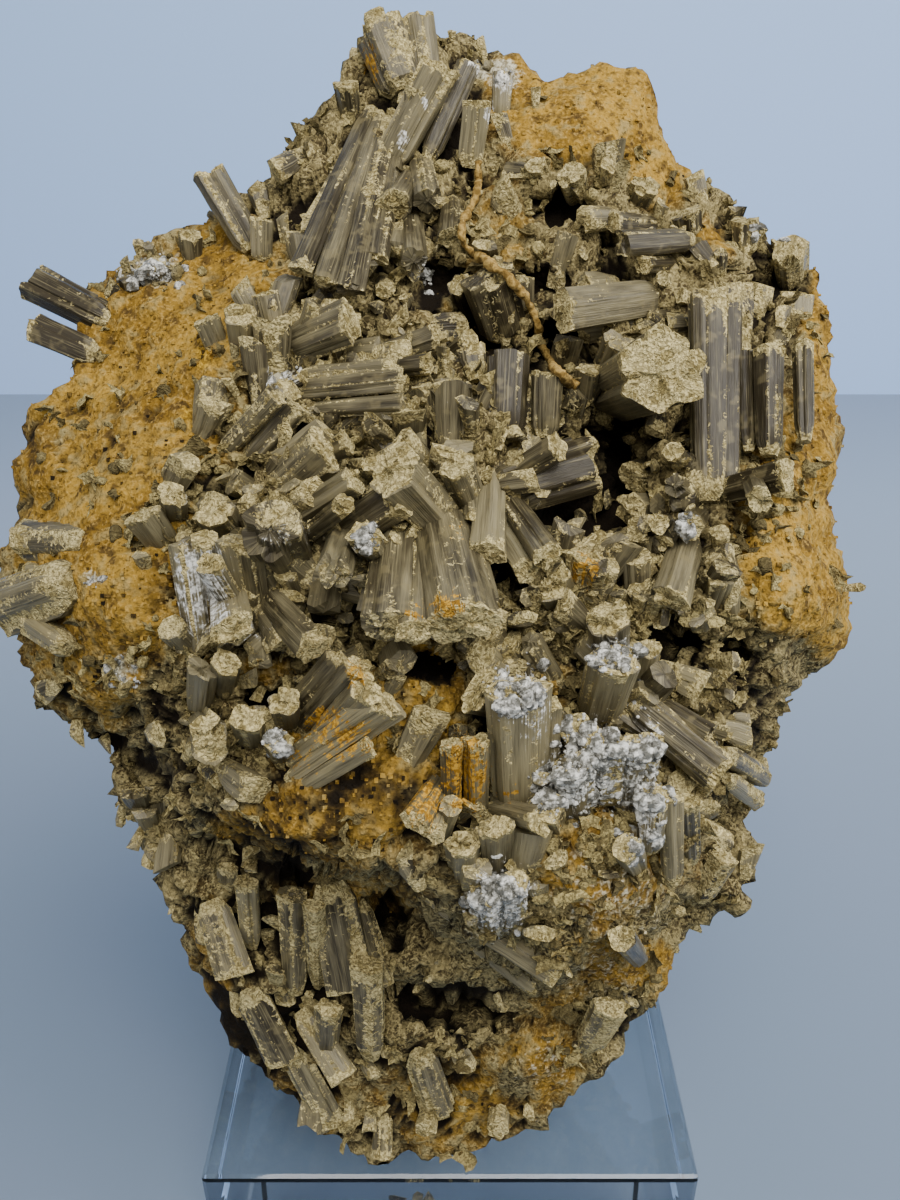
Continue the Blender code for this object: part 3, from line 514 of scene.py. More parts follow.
def make_dry_crust():
    """Matt crust whose tint differs from piece to piece, a little stained and frosted."""
    made, tree = new_finish("dry_aragonite_crust")
    _, stain, frost, tint = coat_channels(tree)
    (crumb,) = grains_of(tree, (0.9,))
    dry, height = crust_layers(tree, "#A99B69", "#726640", "#352C19")
    dry = layer(tree, tint, 0.3, 0.9, dry, linear("#40371F"), 0.75)
    dry = ragged_layer(tree, stain, crumb, 1.0, 1.1, 1.4, dry, linear("#A17B2C"))
    dry = layer(tree, frost, 0.3, 0.8, dry, linear("#ABA58D"))
    links = {"Height": height, "Distance": 0.3 / MM, "Strength": 0.8}
    normal = add_node(tree, "Bump", links, output="Normal")
    dead_matt = {"Roughness": 0.93, "IOR": 1.5, "Specular IOR Level": 0.2}
    shader = add_node(tree, "BsdfPrincipled", {"Base Color": dry, **dead_matt, "Normal": normal})
    add_node(tree, "OutputMaterial", {"Surface": shader})
    return made


# %% [markdown]
# ### Smoky aragonite
# Grown crystal, never polished. The sides are smooth enough to catch the light in long streaks and let some
# of it in, so the finish has a little transmission and an index of 1.6. Fine lines a few tenths of a
# millimetre apart run along each column: they follow its UV map, whose unit is a millimetre. The stain and
# the frost run along the same lines.


# %% Smoky aragonite
def make_smoky_aragonite():
    """Streaked crystal, then frost and a few painted glints, then crust and stain. Those make it matt and
    hide its depth.
    """
    made, tree = new_finish("smoky_aragonite_columns")
    crust, stain, frost, tint = coat_channels(tree)
    cloud, ragged, grit = grains_of(tree, (2.4, 0.9, 0.5))
    uv = add_node(tree, "UVMap", uv_map="fibres")
    scales = [(4.2, 0.12, 1.0), (0.9, 0.1, 1.0)]
    along = [add_node(tree, "Mapping", {"Vector": uv, "Scale": scale}) for scale in scales]
    links = [{"Vector": way, "Scale": 1.0, "Detail": 3.0, "Roughness": 0.6} for way in along]
    streak, band = (add_node(tree, "TexNoise", each, output="Fac") for each in links)
    # The tint, and so the body, is darker where columns carry painted shade.
    depth = add_node(tree, "Math", {0: tint, 1: 0.4, 2: band}, operation="MULTIPLY_ADD")
    body = layer(tree, depth, 0.35, 1.0, linear("#2F291C"), linear("#7B7358"))
    body = layer(tree, streak, 0.53, 0.7, body, linear("#958B68"), 0.45)
    body = layer(tree, streak, 0.47, 0.33, body, linear("#1B170E"), 0.5)
    body = layer(tree, cloud, 0.54, 0.66, body, linear("#766C4D"), 0.45)
    lines = add_node(tree, "Math", {0: streak, 1: ragged}, operation="ADD")
    white = layer(tree, grit, 0.4, 0.6, linear("#8E8C84"), linear("#E4E3DD"))
    # White frost, and a few white spots that are painted glints.
    body = ragged_layer(tree, frost, lines, 1.6, 2.14, 2.44, body, white)
    dry, height = crust_layers(tree, "#C9BA86", "#8E8052", "#4A3F24")
    curls = curls_of(tree, 1.1)
    torn = add_node(tree, "Math", {0: ragged, 1: 0.9, 2: crust}, operation="MULTIPLY_ADD")
    torn = add_node(tree, "Math", {0: curls, 1: 0.16, 2: torn}, operation="MULTIPLY_ADD")
    span = {"Value": torn, "From Min": 0.88, "From Max": 1.0}
    covered = add_node(tree, "MapRange", span, interpolation_type="SMOOTHSTEP")
    colour = add_node(tree, "Mix", {0: covered, 6: body, 7: dry}, output=2, data_type="RGBA")
    orange = layer(tree, grit, 0.4, 0.6, linear("#7F5B16"), linear("#B98F34"))
    torn = add_node(tree, "Math", {0: lines, 1: 1.6, 2: stain}, operation="MULTIPLY_ADD")
    span = {"Value": torn, "From Min": 2.32, "From Max": 2.5}
    stained = add_node(tree, "MapRange", span, interpolation_type="SMOOTHSTEP")
    colour = add_node(tree, "Mix", {0: stained, 6: colour, 7: orange}, output=2, data_type="RGBA")
    matt = add_node(tree, "Math", {0: covered, 1: stained}, operation="MAXIMUM")
    relief = {}
    for pattern, rise, strength in [(streak, 0.2, 0.8), (height, 0.3, covered)]:
        relief.update({"Height": pattern, "Distance": rise / MM, "Strength": strength})
        relief["Normal"] = add_node(tree, "Bump", relief, output="Normal")
    roughness = add_node(tree, "MapRange", {"Value": matt, "To Min": 0.34, "To Max": 0.93})
    gloss = add_node(tree, "MapRange", {"Value": matt, "To Min": 0.09, "To Max": 0.0})
    let_in = add_node(tree, "MapRange", {"Value": matt, "To Min": 0.05, "To Max": 0.0})
    links = {
        "Base Color": colour, "Roughness": roughness, "IOR": 1.6, "Specular IOR Level": 0.13,
        "Coat Weight": gloss, "Coat Roughness": 0.14, "Transmission Weight": let_in,
        "Normal": relief["Normal"],
    }
    shader = add_node(tree, "BsdfPrincipled", links)
    add_node(tree, "OutputMaterial", {"Surface": shader})
    return made


# %% [markdown]
# ### Druse, thread and acrylic
# A druse is a skin of tiny crystals: white, with faces that flash, so it is glossy and left faceted. The
# thread is a browner, calcite crust. The block is cast acrylic with polished faces: clear, index 1.49, very
# slightly grey-blue in its thickness.


# %% Druse, thread and acrylic
def make_druse():
    """Pale crystal skin: glossy, with a glitter finer than its faces."""
    made, tree = new_finish("white_aragonite_druse")
    patch, glitter = grains_of(tree, (0.9, 0.3))
    shade = layer(tree, patch, 0.42, 0.66, linear("#5E5D56"), linear("#CDCDC7"))
    links = {"Height": glitter, "Distance": 0.15 / MM, "Strength": 1.0}
    normal = add_node(tree, "Bump", links, output="Normal")
    sparkle = {"Roughness": 0.22, "IOR": 1.6, "Transmission Weight": 0.1}
    shader = add_node(tree, "BsdfPrincipled", {"Base Color": shade, **sparkle, "Normal": normal})
    add_node(tree, "OutputMaterial", {"Surface": shader})
    return made


def make_tan_thread():
    """Brown, nearly matt crust with a fine grit."""
    made, tree = new_finish("tan_calcite_thread")
    patch, grit = grains_of(tree, (0.9, 0.45))
    shade = layer(tree, patch, 0.38, 0.62, linear("#6C5424"), linear("#A0854A"))
    normal = add_node(tree, "Bump", {"Height": grit, "Distance": 0.3 / MM, "Strength": 0.9}, output="Normal")
    nearly_matt = {"Roughness": 0.9, "IOR": 1.5, "Specular IOR Level": 0.25}
    shader = add_node(tree, "BsdfPrincipled", {"Base Color": shade, **nearly_matt, "Normal": normal})
    add_node(tree, "OutputMaterial", {"Surface": shader})
    return made


def make_clear_acrylic():
    """Clear acrylic. Light that goes straight to a lamp passes as through a pane, so the inside is lit."""
    made, tree = new_finish("polished_clear_acrylic")
    (faint,) = grains_of(tree, (25.0,))
    tinge = layer(tree, faint, 0.3, 0.7, linear("#D2D5D7"), linear("#DCDFE1"))
    links = {"Base Color": tinge, "Roughness": 0.02, "IOR": 1.49, "Transmission Weight": 1.0}
    solid = add_node(tree, "BsdfPrincipled", links)
    pane = add_node(tree, "BsdfTransparent", {"Color": linear("#CDD2D6")})
    to_lamp = add_node(tree, "LightPath", output="Is Shadow Ray")
    chosen = add_node(tree, "MixShader", {0: to_lamp, 1: solid, 2: pane})
    add_node(tree, "OutputMaterial", {"Surface": chosen})
    return made


ochre_rock = make_ochre_rock()
smoky_aragonite = make_smoky_aragonite()
druse_finish = make_druse()
dry_crust = make_dry_crust()
tan_thread = make_tan_thread()
clear_acrylic = make_clear_acrylic()

# %% [markdown]
# ## The rock
# The rock is one closed surface. Where it lies is the same as in the solid model, and finer relief is added
# along its own normals: round nodules in the earthy places, and blocks parted by cracks where it is made of
# broken crystals. Which is which is given as a few soft oval patches on the layout sheet.

# %% Patches on the layout sheet
# Each patch: x, y, half width, half height, strength.
EARTHY = [
    (590, 108, 98, 60, 1.0), (520, 85, 40, 30, 0.8), (160, 330, 92, 75, 1.0), (225, 270, 60, 50, 0.9),
    (105, 560, 90, 150, 1.0), (150, 420, 90, 70, 0.9), (30, 470, 34, 40, 0.9), (800, 540, 62, 130, 1.0),
    (825, 630, 40, 40, 0.8), (330, 780, 110, 75, 1.0), (420, 710, 45, 90, 0.9), (605, 880, 85, 60, 0.8),
    (640, 960, 70, 40, 0.9), (540, 1068, 42, 38, 0.9), (234, 826, 26, 26, 0.8), (712, 242, 22, 22, 0.7),
    (584, 840, 40, 40, 0.7), (545, 690, 30, 60, 0.5), (240, 668, 60, 14, 0.6), (430, 1120, 40, 40, 0.6),
    (475, 300, 60, 60, 0.4), (500, 230, 40, 60, 0.5), (370, 900, 120, 30, 0.5), (60, 380, 60, 60, 0.9),
    (400, 1080, 90, 40, 0.5), (220, 930, 34, 40, 0.5), (560, 1000, 60, 36, 0.5),
    (330, 930, 60, 40, 0.4), (470, 960, 60, 30, 0.5), (180, 880, 30, 50, 0.3), (700, 860, 40, 40, 0.3),
    (660, 165, 34, 44, 0.9), (822, 380, 20, 120, 0.9), (215, 1010, 34, 90, 0.6), (310, 1100, 50, 50, 0.5),
    (470, 1100, 60, 50, 0.7),
]
YELLOW = [
    (206, 356, 14, 20, 0.9), (195, 418, 18, 18, 0.8), (185, 462, 18, 14, 0.8), (447, 716, 12, 20, 0.8),
    (565, 935, 40, 46, 0.6), (575, 835, 28, 36, 0.6), (585, 570, 18, 22, 0.9), (512, 385, 14, 14, 0.8),
    (700, 90, 10, 10, 0.3), (480, 540, 30, 26, 0.5), (508, 792, 14, 10, 0.9), (425, 800, 24, 34, 0.6),
]
PALE = [
    (152, 270, 30, 18, 0.8), (281, 375, 18, 12, 0.9), (482, 65, 12, 12, 0.8), (504, 76, 18, 16, 0.8),
    (122, 672, 20, 20, 0.6), (92, 580, 12, 12, 0.5), (56, 584, 12, 18, 0.8), (520, 690, 26, 26, 0.7),
    (615, 656, 26, 18, 0.7), (547, 786, 16, 28, 0.8), (590, 768, 36, 46, 0.6), (642, 785, 26, 66, 0.6),
    (498, 900, 32, 34, 0.8), (685, 528, 12, 8, 0.9), (770, 232, 18, 10, 0.6), (420, 208, 40, 40, 0.25),
    (610, 880, 80, 76, 0.42), (610, 975, 60, 60, 0.36), (545, 1062, 40, 36, 0.36), (220, 520, 70, 30, 0.3),
]
GREY = [
    (168, 770, 30, 100, 0.6), (230, 772, 46, 30, 0.9), (760, 670, 50, 36, 0.9), (500, 940, 70, 46, 0.8),
    (518, 1080, 18, 18, 0.7), (680, 920, 60, 30, 0.5), (370, 1010, 30, 60, 0.6), (620, 1018, 30, 34, 0.5),
]


def patch_share(x, y, patches):
    """The strongest patch at each place: strength times exp(-0.7 r^3), r being 1 at the patch's edge."""
    share = np.zeros_like(x)
    for middle_x, middle_y, half_x, half_y, strength in patches:
        away = ((x - middle_x) / half_x) ** 2 + ((y - middle_y) / half_y) ** 2
        share = np.maximum(share, strength * np.exp(-0.7 * away**1.5))
    return share


# %% The rock's surface
ROCK_CELLS = 125  # cells along each edge of the blown-up cube: 187,500 triangles
FRONT_SHARE = 1.3  # over 1 draws the grid towards the front, where the detail is
NODULES = [(4.6, 1.1, 21), (2.0, 0.65, 31), (1.1, 0.42, 41)]  # size, height, seed
BLOCKS = [(6.0, 1.4, 51), (2.6, 0.9, 61)]
SHADED_GAP = (574, 510, 36, 20, 1.0)  # a deep slot under the fan of columns in the middle
HOLLOWS = [lump[:4] + (1.0,) for lump in LUMPS if lump[4] < -4] + [SHADED_GAP]
# Where the rock is painted darker: partly browner earth, partly painted shade under the overhanging ledge and
# at the foot.
BROWN_EARTH_AND_PAINTED_SHADE = [
    (340, 800, 130, 60, 0.72), (425, 680, 34, 60, 0.45), (110, 600, 60, 90, 0.3), (600, 830, 40, 30, 0.2),
    (120, 440, 90, 60, 0.3), (230, 300, 40, 60, 0.3), (400, 1090, 100, 50, 0.4), (250, 1000, 80, 120, 0.8),
]
FLOOR_OF_STONE = 20.3  # the world height of the stone's foot, a hair over the block's top
GAP_DEPTH = 7.0


def rock_surface():
    """The rock: stone_surface, then relief along the normals.

    Nodules are height * (0.6 - distance to the nearest seed). Blocks are height * the nearest seed's own
    value, less a crack that falls off with the gap between the two nearest seeds.
    """
    directions, quads = cube_sphere(ROCK_CELLS)
    lean = (np.arccos(np.clip(directions[:, 2], -1, 1)) / math.pi) ** FRONT_SHARE * math.pi
    turn = np.arctan2(directions[:, 1], directions[:, 0])
    directions = np.column_stack([np.cos(turn) * np.sin(lean), np.sin(turn) * np.sin(lean), np.cos(lean)])
    points = stone_surface(directions)
    normals = vertex_normals(points, quads)
    x, y = sheet_place(points)
    behind = smooth_step(lean / (math.pi / 2), 0.97, 1.12)
    mottle = smooth_step(noise(points, 22, 71) + 0.4 * noise(points, 9, 72), -0.15, 0.25)
    earthy = patch_share(x, y, EARTHY) * (1 - behind) + mottle * behind
    relief = 0
    for size, height, seed in NODULES:
        first, _, _ = cells(points, size, seed)
        relief = relief + height * (0.6 - first) * (0.45 + 0.55 * earthy)
    for size, height, seed in BLOCKS:
        first, second, value = cells(points, size, seed)
        relief = relief + (1 - earthy) * (height * value - height * np.exp(-(second - first) / 0.08))
    relief = relief + 0.35 * noise(points, 1.3, 42) * (1 - 0.5 * earthy)
    hollow = patch_share(x, y, HOLLOWS) * (1 - behind)
    relief = relief - GAP_DEPTH * patch_share(x, y, [SHADED_GAP]) * (1 - behind)
    points = points + normals * relief[:, None]
    sunk = points[:, 1] * UP[2] + points[:, 2] * OUT[2] + SHEET_ORIGIN[2] < FLOOR_OF_STONE
    lift = FLOOR_OF_STONE - SHEET_ORIGIN[2] - points[:, 1] * UP[2] - points[:, 2] * OUT[2]  # straight up
    points[:, 1] += np.where(sunk, lift * UP[2], 0)
    points[:, 2] += np.where(sunk, lift * OUT[2], 0)
    front = 1 - behind
    coat = np.column_stack([
        np.clip(1 - earthy + patch_share(x, y, GREY), 0, 1),
        patch_share(x, y, YELLOW) * front,
        patch_share(x, y, PALE) * front + 0.4 * behind * smooth_step(noise(points, 12, 73), 0.5, 0.7),
        # Alpha: painted shade, lower where the relief is low, in the hollows, and in the brown patches under
        # the ledge and at the foot.
        np.clip(0.55 + relief / 3.0 - 0.5 * hollow - 0.5 * front * patch_share(x, y, BROWN_EARTH_AND_PAINTED_SHADE), 0, 1),
    ])
    return points, quads, coat, earthy, hollow


rock_points, rock_quads, rock_coat, rock_earthy, rock_hollow = rock_surface()
rock = add_piece("rock", rock_points, rock_quads, ochre_rock, coat=rock_coat)
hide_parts("matrix")
rock_normals = vertex_normals(rock_points, rock_quads)

# %% [markdown]
# ## The columns
# An aragonite column is a bundle of needles. Seen from the end it is a rough hexagon, cut by grooves where
# the needles' groups meet, and the groups end at different heights. So one function describes the whole
# column over two parameters, the angle round it and the way from the root over the rim to the cap's middle:
# the sides run up to a height that depends on where the rim lies, and the cap is that same height inside.


# %% One column
TAPER = 0.88  # the width near the root over the width at the tip
ROOT_PINCH = 0.35  # how much narrower still the very root is
GROOVE_DEPTH, GROOVE_WIDTH = 0.17, 0.05  # over the column's width
ARRIS_WIDTH = 0.09  # how far crust reaches to each side of an edge, in radians
CRUSTED_EDGE = 0.28  # how much crust an edge or a groove has
CRUST_PATCHES = 0.36  # how much patches of crust come and go along a side
SIDE_ROUGHNESS, TIP_ROUGHNESS = 0.07, 0.14


def column_surface(root, tip, width, flat, seed, around=48, rows=12, cap_rows=7, slant=0.1, bare=0.2):
    """One column as points, triangles, coat and fibre places. Lengths in millimetres.

    The radius is the smallest of d / cos(angle - facing) over six sides, less a groove where the two
    nearest of the bundle's groups are equally far. The height is the column's length less the drop of the
    nearest group, which is more the further out the group lies, and leans over by the slant. The root
    narrows as 1 - pinch * exp(-(way / 0.08)^2). A bare share of the caps has little crust.
    """
    random = np.random.default_rng(seed)
    axis = tip - root
    length = float(np.linalg.norm(axis))
    axis = axis / length
    broad = np.cross(axis, [0.0, 0.0, 1.0])
    broad = unit(broad) if np.linalg.norm(broad) > 0.2 else unit(np.cross(axis, [0.0, 1.0, 0.0]))
    thin = np.cross(axis, broad)
    start = math.radians(30 * (seed % 2))
    angle = start + math.pi / 6 + np.arange(around) / around * 2 * math.pi
    facing = start + np.radians(60 * np.arange(6)) + random.normal(0, 0.08, 6)
    reach = random.uniform(0.42, 0.52, 6)
    radius = np.min(reach / np.maximum(np.cos(angle[:, None] - facing), 0.25), axis=1)
    groups = int(np.clip(3 + width * 0.9, 3, 9))
    group_angle = random.uniform(0, 2 * math.pi, groups)
    outer = random.uniform(0.05, 0.42, groups)
    middle = np.column_stack([np.cos(group_angle), np.sin(group_angle)]) * outer[:, None]
    drop = random.uniform(0, 1, groups) ** 1.5 * outer / 0.42
    drop = drop * min(0.22 * length, 0.42 * width, 9 - 0.75 * width)
    lean = random.normal(0, slant, 2) * width

    def bundle(place):
        """How deep each place of the cross section lies in a groove, and how far its group's end is sunk."""
        away = np.linalg.norm(place[..., None, :] - middle, axis=-1)
        order = np.sort(away, axis=-1)
        groove = np.exp(-(((order[..., 1] - order[..., 0]) / GROOVE_WIDTH) ** 2))
        return groove, drop[np.argmin(away, axis=-1)]

    rim = np.column_stack([np.cos(angle), np.sin(angle)]) * radius[:, None]
    groove, _ = bundle(rim)
    rim = rim * (1 - GROOVE_DEPTH * groove)[:, None]
    way = 1 - (1 - np.linspace(0, 1, rows)) ** 1.5
    inward = 1 - np.linspace(0, 1, cap_rows + 1)[1:] ** 0.8 * 0.93
    spread = TAPER + (1 - TAPER) * way - ROOT_PINCH * np.exp(-((way / 0.08) ** 2))
    spread = np.concatenate([spread, inward])
    place = rim[None] * spread[:, None, None]
    _, sunk = bundle(place)
    seeded = np.array([seed * 7.3, seed * 3.1, 0.0])
    flat_place = np.concatenate([place * width, np.zeros((*place.shape[:2], 1))], axis=-1)
    rough = 0.12 * noise(flat_place + seeded, 1.0, 81) + 0.06 * noise(flat_place + seeded, 0.5, 82)
    top = length - sunk + place @ lean + rough * min(1.0, width / 3)
    top[:rows] = top[rows - 1]
    along = np.concatenate([way, np.ones(cap_rows)])[:, None] * top
    wander = np.concatenate([way, np.ones(cap_rows)])[:, None]
    coated = min(random.uniform(0.6, 2.8), 0.35 * length)
    near_tip = smooth_step(along, length - coated, length) * wander
    x, y = place[..., 0] * width, place[..., 1] * width * flat
    coords = np.stack([x, y, along * 0.35], axis=-1) + seeded
    side_rough = SIDE_ROUGHNESS * noise(coords, 0.9, 83)
    side_rough = side_rough + near_tip * (TIP_ROUGHNESS * noise(coords, 0.6, 84) + 0.06)
    grow = 1 + side_rough * 2 / max(width, 1.5) * (np.arange(rows + cap_rows) < rows)[:, None]
    points = root + (x * grow)[..., None] * broad + (y * grow)[..., None] * thin + along[..., None] * axis
    corner = np.abs((angle[:, None] - facing + math.pi) % (2 * math.pi) - math.pi).min(axis=1)
    arris = np.exp(-(((corner - math.pi / 6) / ARRIS_WIDTH) ** 2))
    capped = 1.0 if random.uniform() > bare else random.uniform(0.1, 0.5)
    crust = near_tip * 0.75 * capped + CRUSTED_EDGE * arris + CRUSTED_EDGE * groove
    crust = crust + 0.8 * smooth_step(-along, -1.6, 0)
    crust = np.where(np.arange(rows + cap_rows)[:, None] < rows, crust, capped)
    ends = np.stack([root + 0 * axis, points[-1].mean(axis=0)])
    places = sheet_place(points)
    crust = crust + CRUST_PATCHES * noise(coords, 2.0, 85)
    crust = np.clip(crust + patch_share(*places, DUSTY) * (points[..., 2] > -40), 0, 1)
    points = np.concatenate([points.reshape(-1, 3), ends])
    fibres = np.stack([np.broadcast_to(angle * width / 2, along.shape) + seed % 97, along], axis=-1)
    fibres = np.concatenate([fibres.reshape(-1, 2), [[seed % 97, 0.0], [seed % 97, length]]])
    crust = np.concatenate([crust.ravel(), [1.0, capped]])
    sheet_x, sheet_y = sheet_place(points)
    coat = np.column_stack([
        crust,
        patch_share(sheet_x, sheet_y, STAINED),
        # frost, with a few painted glints
        patch_share(sheet_x, sheet_y, FROST_AND_PAINTED_GLINTS),
        # tint, lowered where a column is painted darker as painted shade
        random.uniform(0, 1) - patch_share(sheet_x, sheet_y, PAINTED_SHADE_ON_COLUMNS),
    ])
    return points, tube_faces(rows + cap_rows, around), coat, fibres


# %% [markdown]
# ### Laying out the columns
# Each row is one column: x and y of its root, x and y of its tip, its width in steps, how far its tip
# stands out of the rock in millimetres, and its thickness over its width. A rule could place them at
# random, but each large column of the real stone is one of a kind, so each gets its own row.
#
# Clusters are pieces of their own in the solid model, and each is replaced by a piece named after it. The
# rest are one with the rock.

# %% Where the columns stand
CLUSTERS = {
    "crown_block": [
        (404, 94, 378, 24, 60, 3.0, 0.85), (430, 88, 420, 18, 36, 1.5, 0.9),
        (350, 118, 345, 82, 26, 3.0, 0.9),
    ],
    "top_fan": [
        (388, 165, 442, 62, 42, 7.0, 0.7), (428, 160, 470, 62, 26, 4.0, 0.8),
        (470, 168, 478, 100, 30, 6.0, 0.8), (405, 150, 418, 88, 26, 6.0, 0.8),
        (372, 108, 300, 272, 26, 5.0, 0.6), (380, 112, 322, 284, 24, 6.0, 0.6),
        (388, 118, 350, 292, 28, 5.5, 0.6), (396, 150, 376, 262, 26, 4.0, 0.7),
        (366, 128, 306, 236, 20, 2.5, 0.8),
    ],
    "upper_left_spike": [
        (254, 250, 209, 172, 36, 5.0, 0.8), (262, 262, 262, 218, 24, 3.0, 0.9),
    ],
    "left_edge_pair": [
        (112, 322, 32, 281, 38, 4.0, 0.8), (98, 356, 32, 327, 32, 3.0, 0.8),
    ],
    "slab_sheaf": [
        (292, 346, 354, 320, 50, 6.0, 0.5), (370, 360, 440, 336, 28, 5.0, 0.7),
        (362, 372, 432, 364, 20, 4.0, 0.8),
    ],
    "plank_sheaf": [
        (222, 454, 277, 394, 24, 6.5, 0.6), (248, 462, 300, 404, 26, 4.0, 0.7),
        (268, 474, 330, 430, 30, 4.0, 0.7),
    ],
    "long_blades": [
        (300, 376, 398, 368, 22, 4.5, 0.7), (292, 392, 406, 380, 24, 4.5, 0.6),
        (306, 410, 404, 402, 18, 5.0, 0.7),
    ],
    "box_crystal": [
        (506, 336, 486, 272, 56, 5.5, 0.8), (470, 320, 458, 282, 26, 4.5, 0.9),
    ],
    "ragged_prism": [
        (656, 298, 558, 312, 42, 7.0, 0.8), (640, 324, 580, 336, 20, 5.5, 0.8),
    ],
    "capped_stub": [
        (618, 392, 664, 372, 84, 11.0, 0.9), (606, 372, 622, 340, 34, 6.0, 0.8),
    ],
    "tall_columns": [
        (708, 502, 706, 290, 34, 7.0, 0.9), (728, 498, 730, 286, 30, 6.0, 0.9),
        (748, 452, 747, 350, 18, 4.5, 1), (770, 456, 770, 347, 30, 7.0, 0.9),
    ],
    "hexagon_cap_sheaf": [
        (444, 524, 392, 467, 56, 10.0, 0.85), (472, 510, 454, 464, 34, 7.0, 0.8),
        (494, 474, 489, 556, 36, 6.0, 0.7), (490, 494, 596, 462, 56, 8.0, 0.8),
        (504, 480, 560, 446, 26, 5.5, 0.8), (508, 500, 550, 560, 28, 7.0, 0.8),
        (492, 512, 530, 574, 22, 6.0, 0.8),
    ],
    "finger_sheaf": [
        (282, 524, 356, 478, 24, 8.0, 0.8), (298, 544, 346, 504, 20, 8.0, 0.8),
        (318, 550, 402, 492, 40, 7.0, 0.7), (276, 492, 328, 446, 46, 6.0, 0.7),
        (296, 470, 350, 440, 24, 4.0, 0.8), (288, 562, 268, 528, 60, 9.5, 0.95),
        (348, 526, 334, 574, 31, 10.0, 0.9),
    ],
    "twin_columns": [
        (396, 516, 384, 628, 44, 9.0, 0.8), (438, 512, 462, 628, 62, 10.0, 0.7),
        (416, 528, 412, 636, 28, 9.5, 0.9), (462, 510, 484, 600, 24, 6.0, 0.9),
    ],
    "zebra_block": [
        (200, 654, 182, 540, 26, 6.5, 0.8), (244, 618, 208, 562, 24, 9.0, 0.8),
        (216, 610, 204, 536, 26, 7.0, 0.8), (244, 604, 230, 538, 26, 7.0, 0.8),
        (262, 608, 252, 546, 22, 6.5, 0.8), (228, 594, 234, 634, 44, 8.0, 0.7),
        (268, 596, 315, 646, 34, 7.0, 0.85),
    ],
    "stained_fan": [
        (292, 716, 344, 658, 30, 7.0, 0.7), (302, 730, 360, 668, 30, 8.0, 0.7),
        (316, 742, 370, 690, 26, 8.0, 0.7), (290, 762, 384, 698, 30, 7.0, 0.7),
        (288, 780, 396, 706, 24, 5.5, 0.7), (302, 788, 372, 746, 18, 5.0, 0.8),
    ],
    "drusy_prism": [
        (522, 806, 520, 684, 56, 8.0, 0.8), (546, 790, 548, 700, 24, 5.5, 0.9),
        (506, 700, 478, 688, 52, 7.0, 0.45),
    ],
    "stained_columns": [
        (452, 822, 452, 742, 22, 6.0, 0.9), (476, 818, 476, 738, 24, 6.5, 0.9),
        (444, 776, 412, 824, 24, 6.5, 0.7), (446, 788, 430, 834, 24, 6.5, 0.7),
        (440, 842, 452, 806, 20, 5.0, 0.9),
    ],
    "drusy_mass": [
        (606, 800, 606, 738, 40, 6.5, 0.9), (578, 812, 572, 762, 38, 6.5, 0.9),
        (632, 800, 644, 742, 34, 7.0, 0.8), (650, 850, 654, 790, 26, 6.0, 0.9),
        (636, 866, 626, 846, 26, 4.5, 0.9), (556, 826, 548, 806, 30, 5.5, 0.9),
    ],
    "slanting_prism": [
        (632, 700, 724, 774, 38, 5.0, 0.8), (660, 704, 712, 736, 22, 3.0, 0.8),
    ],
}
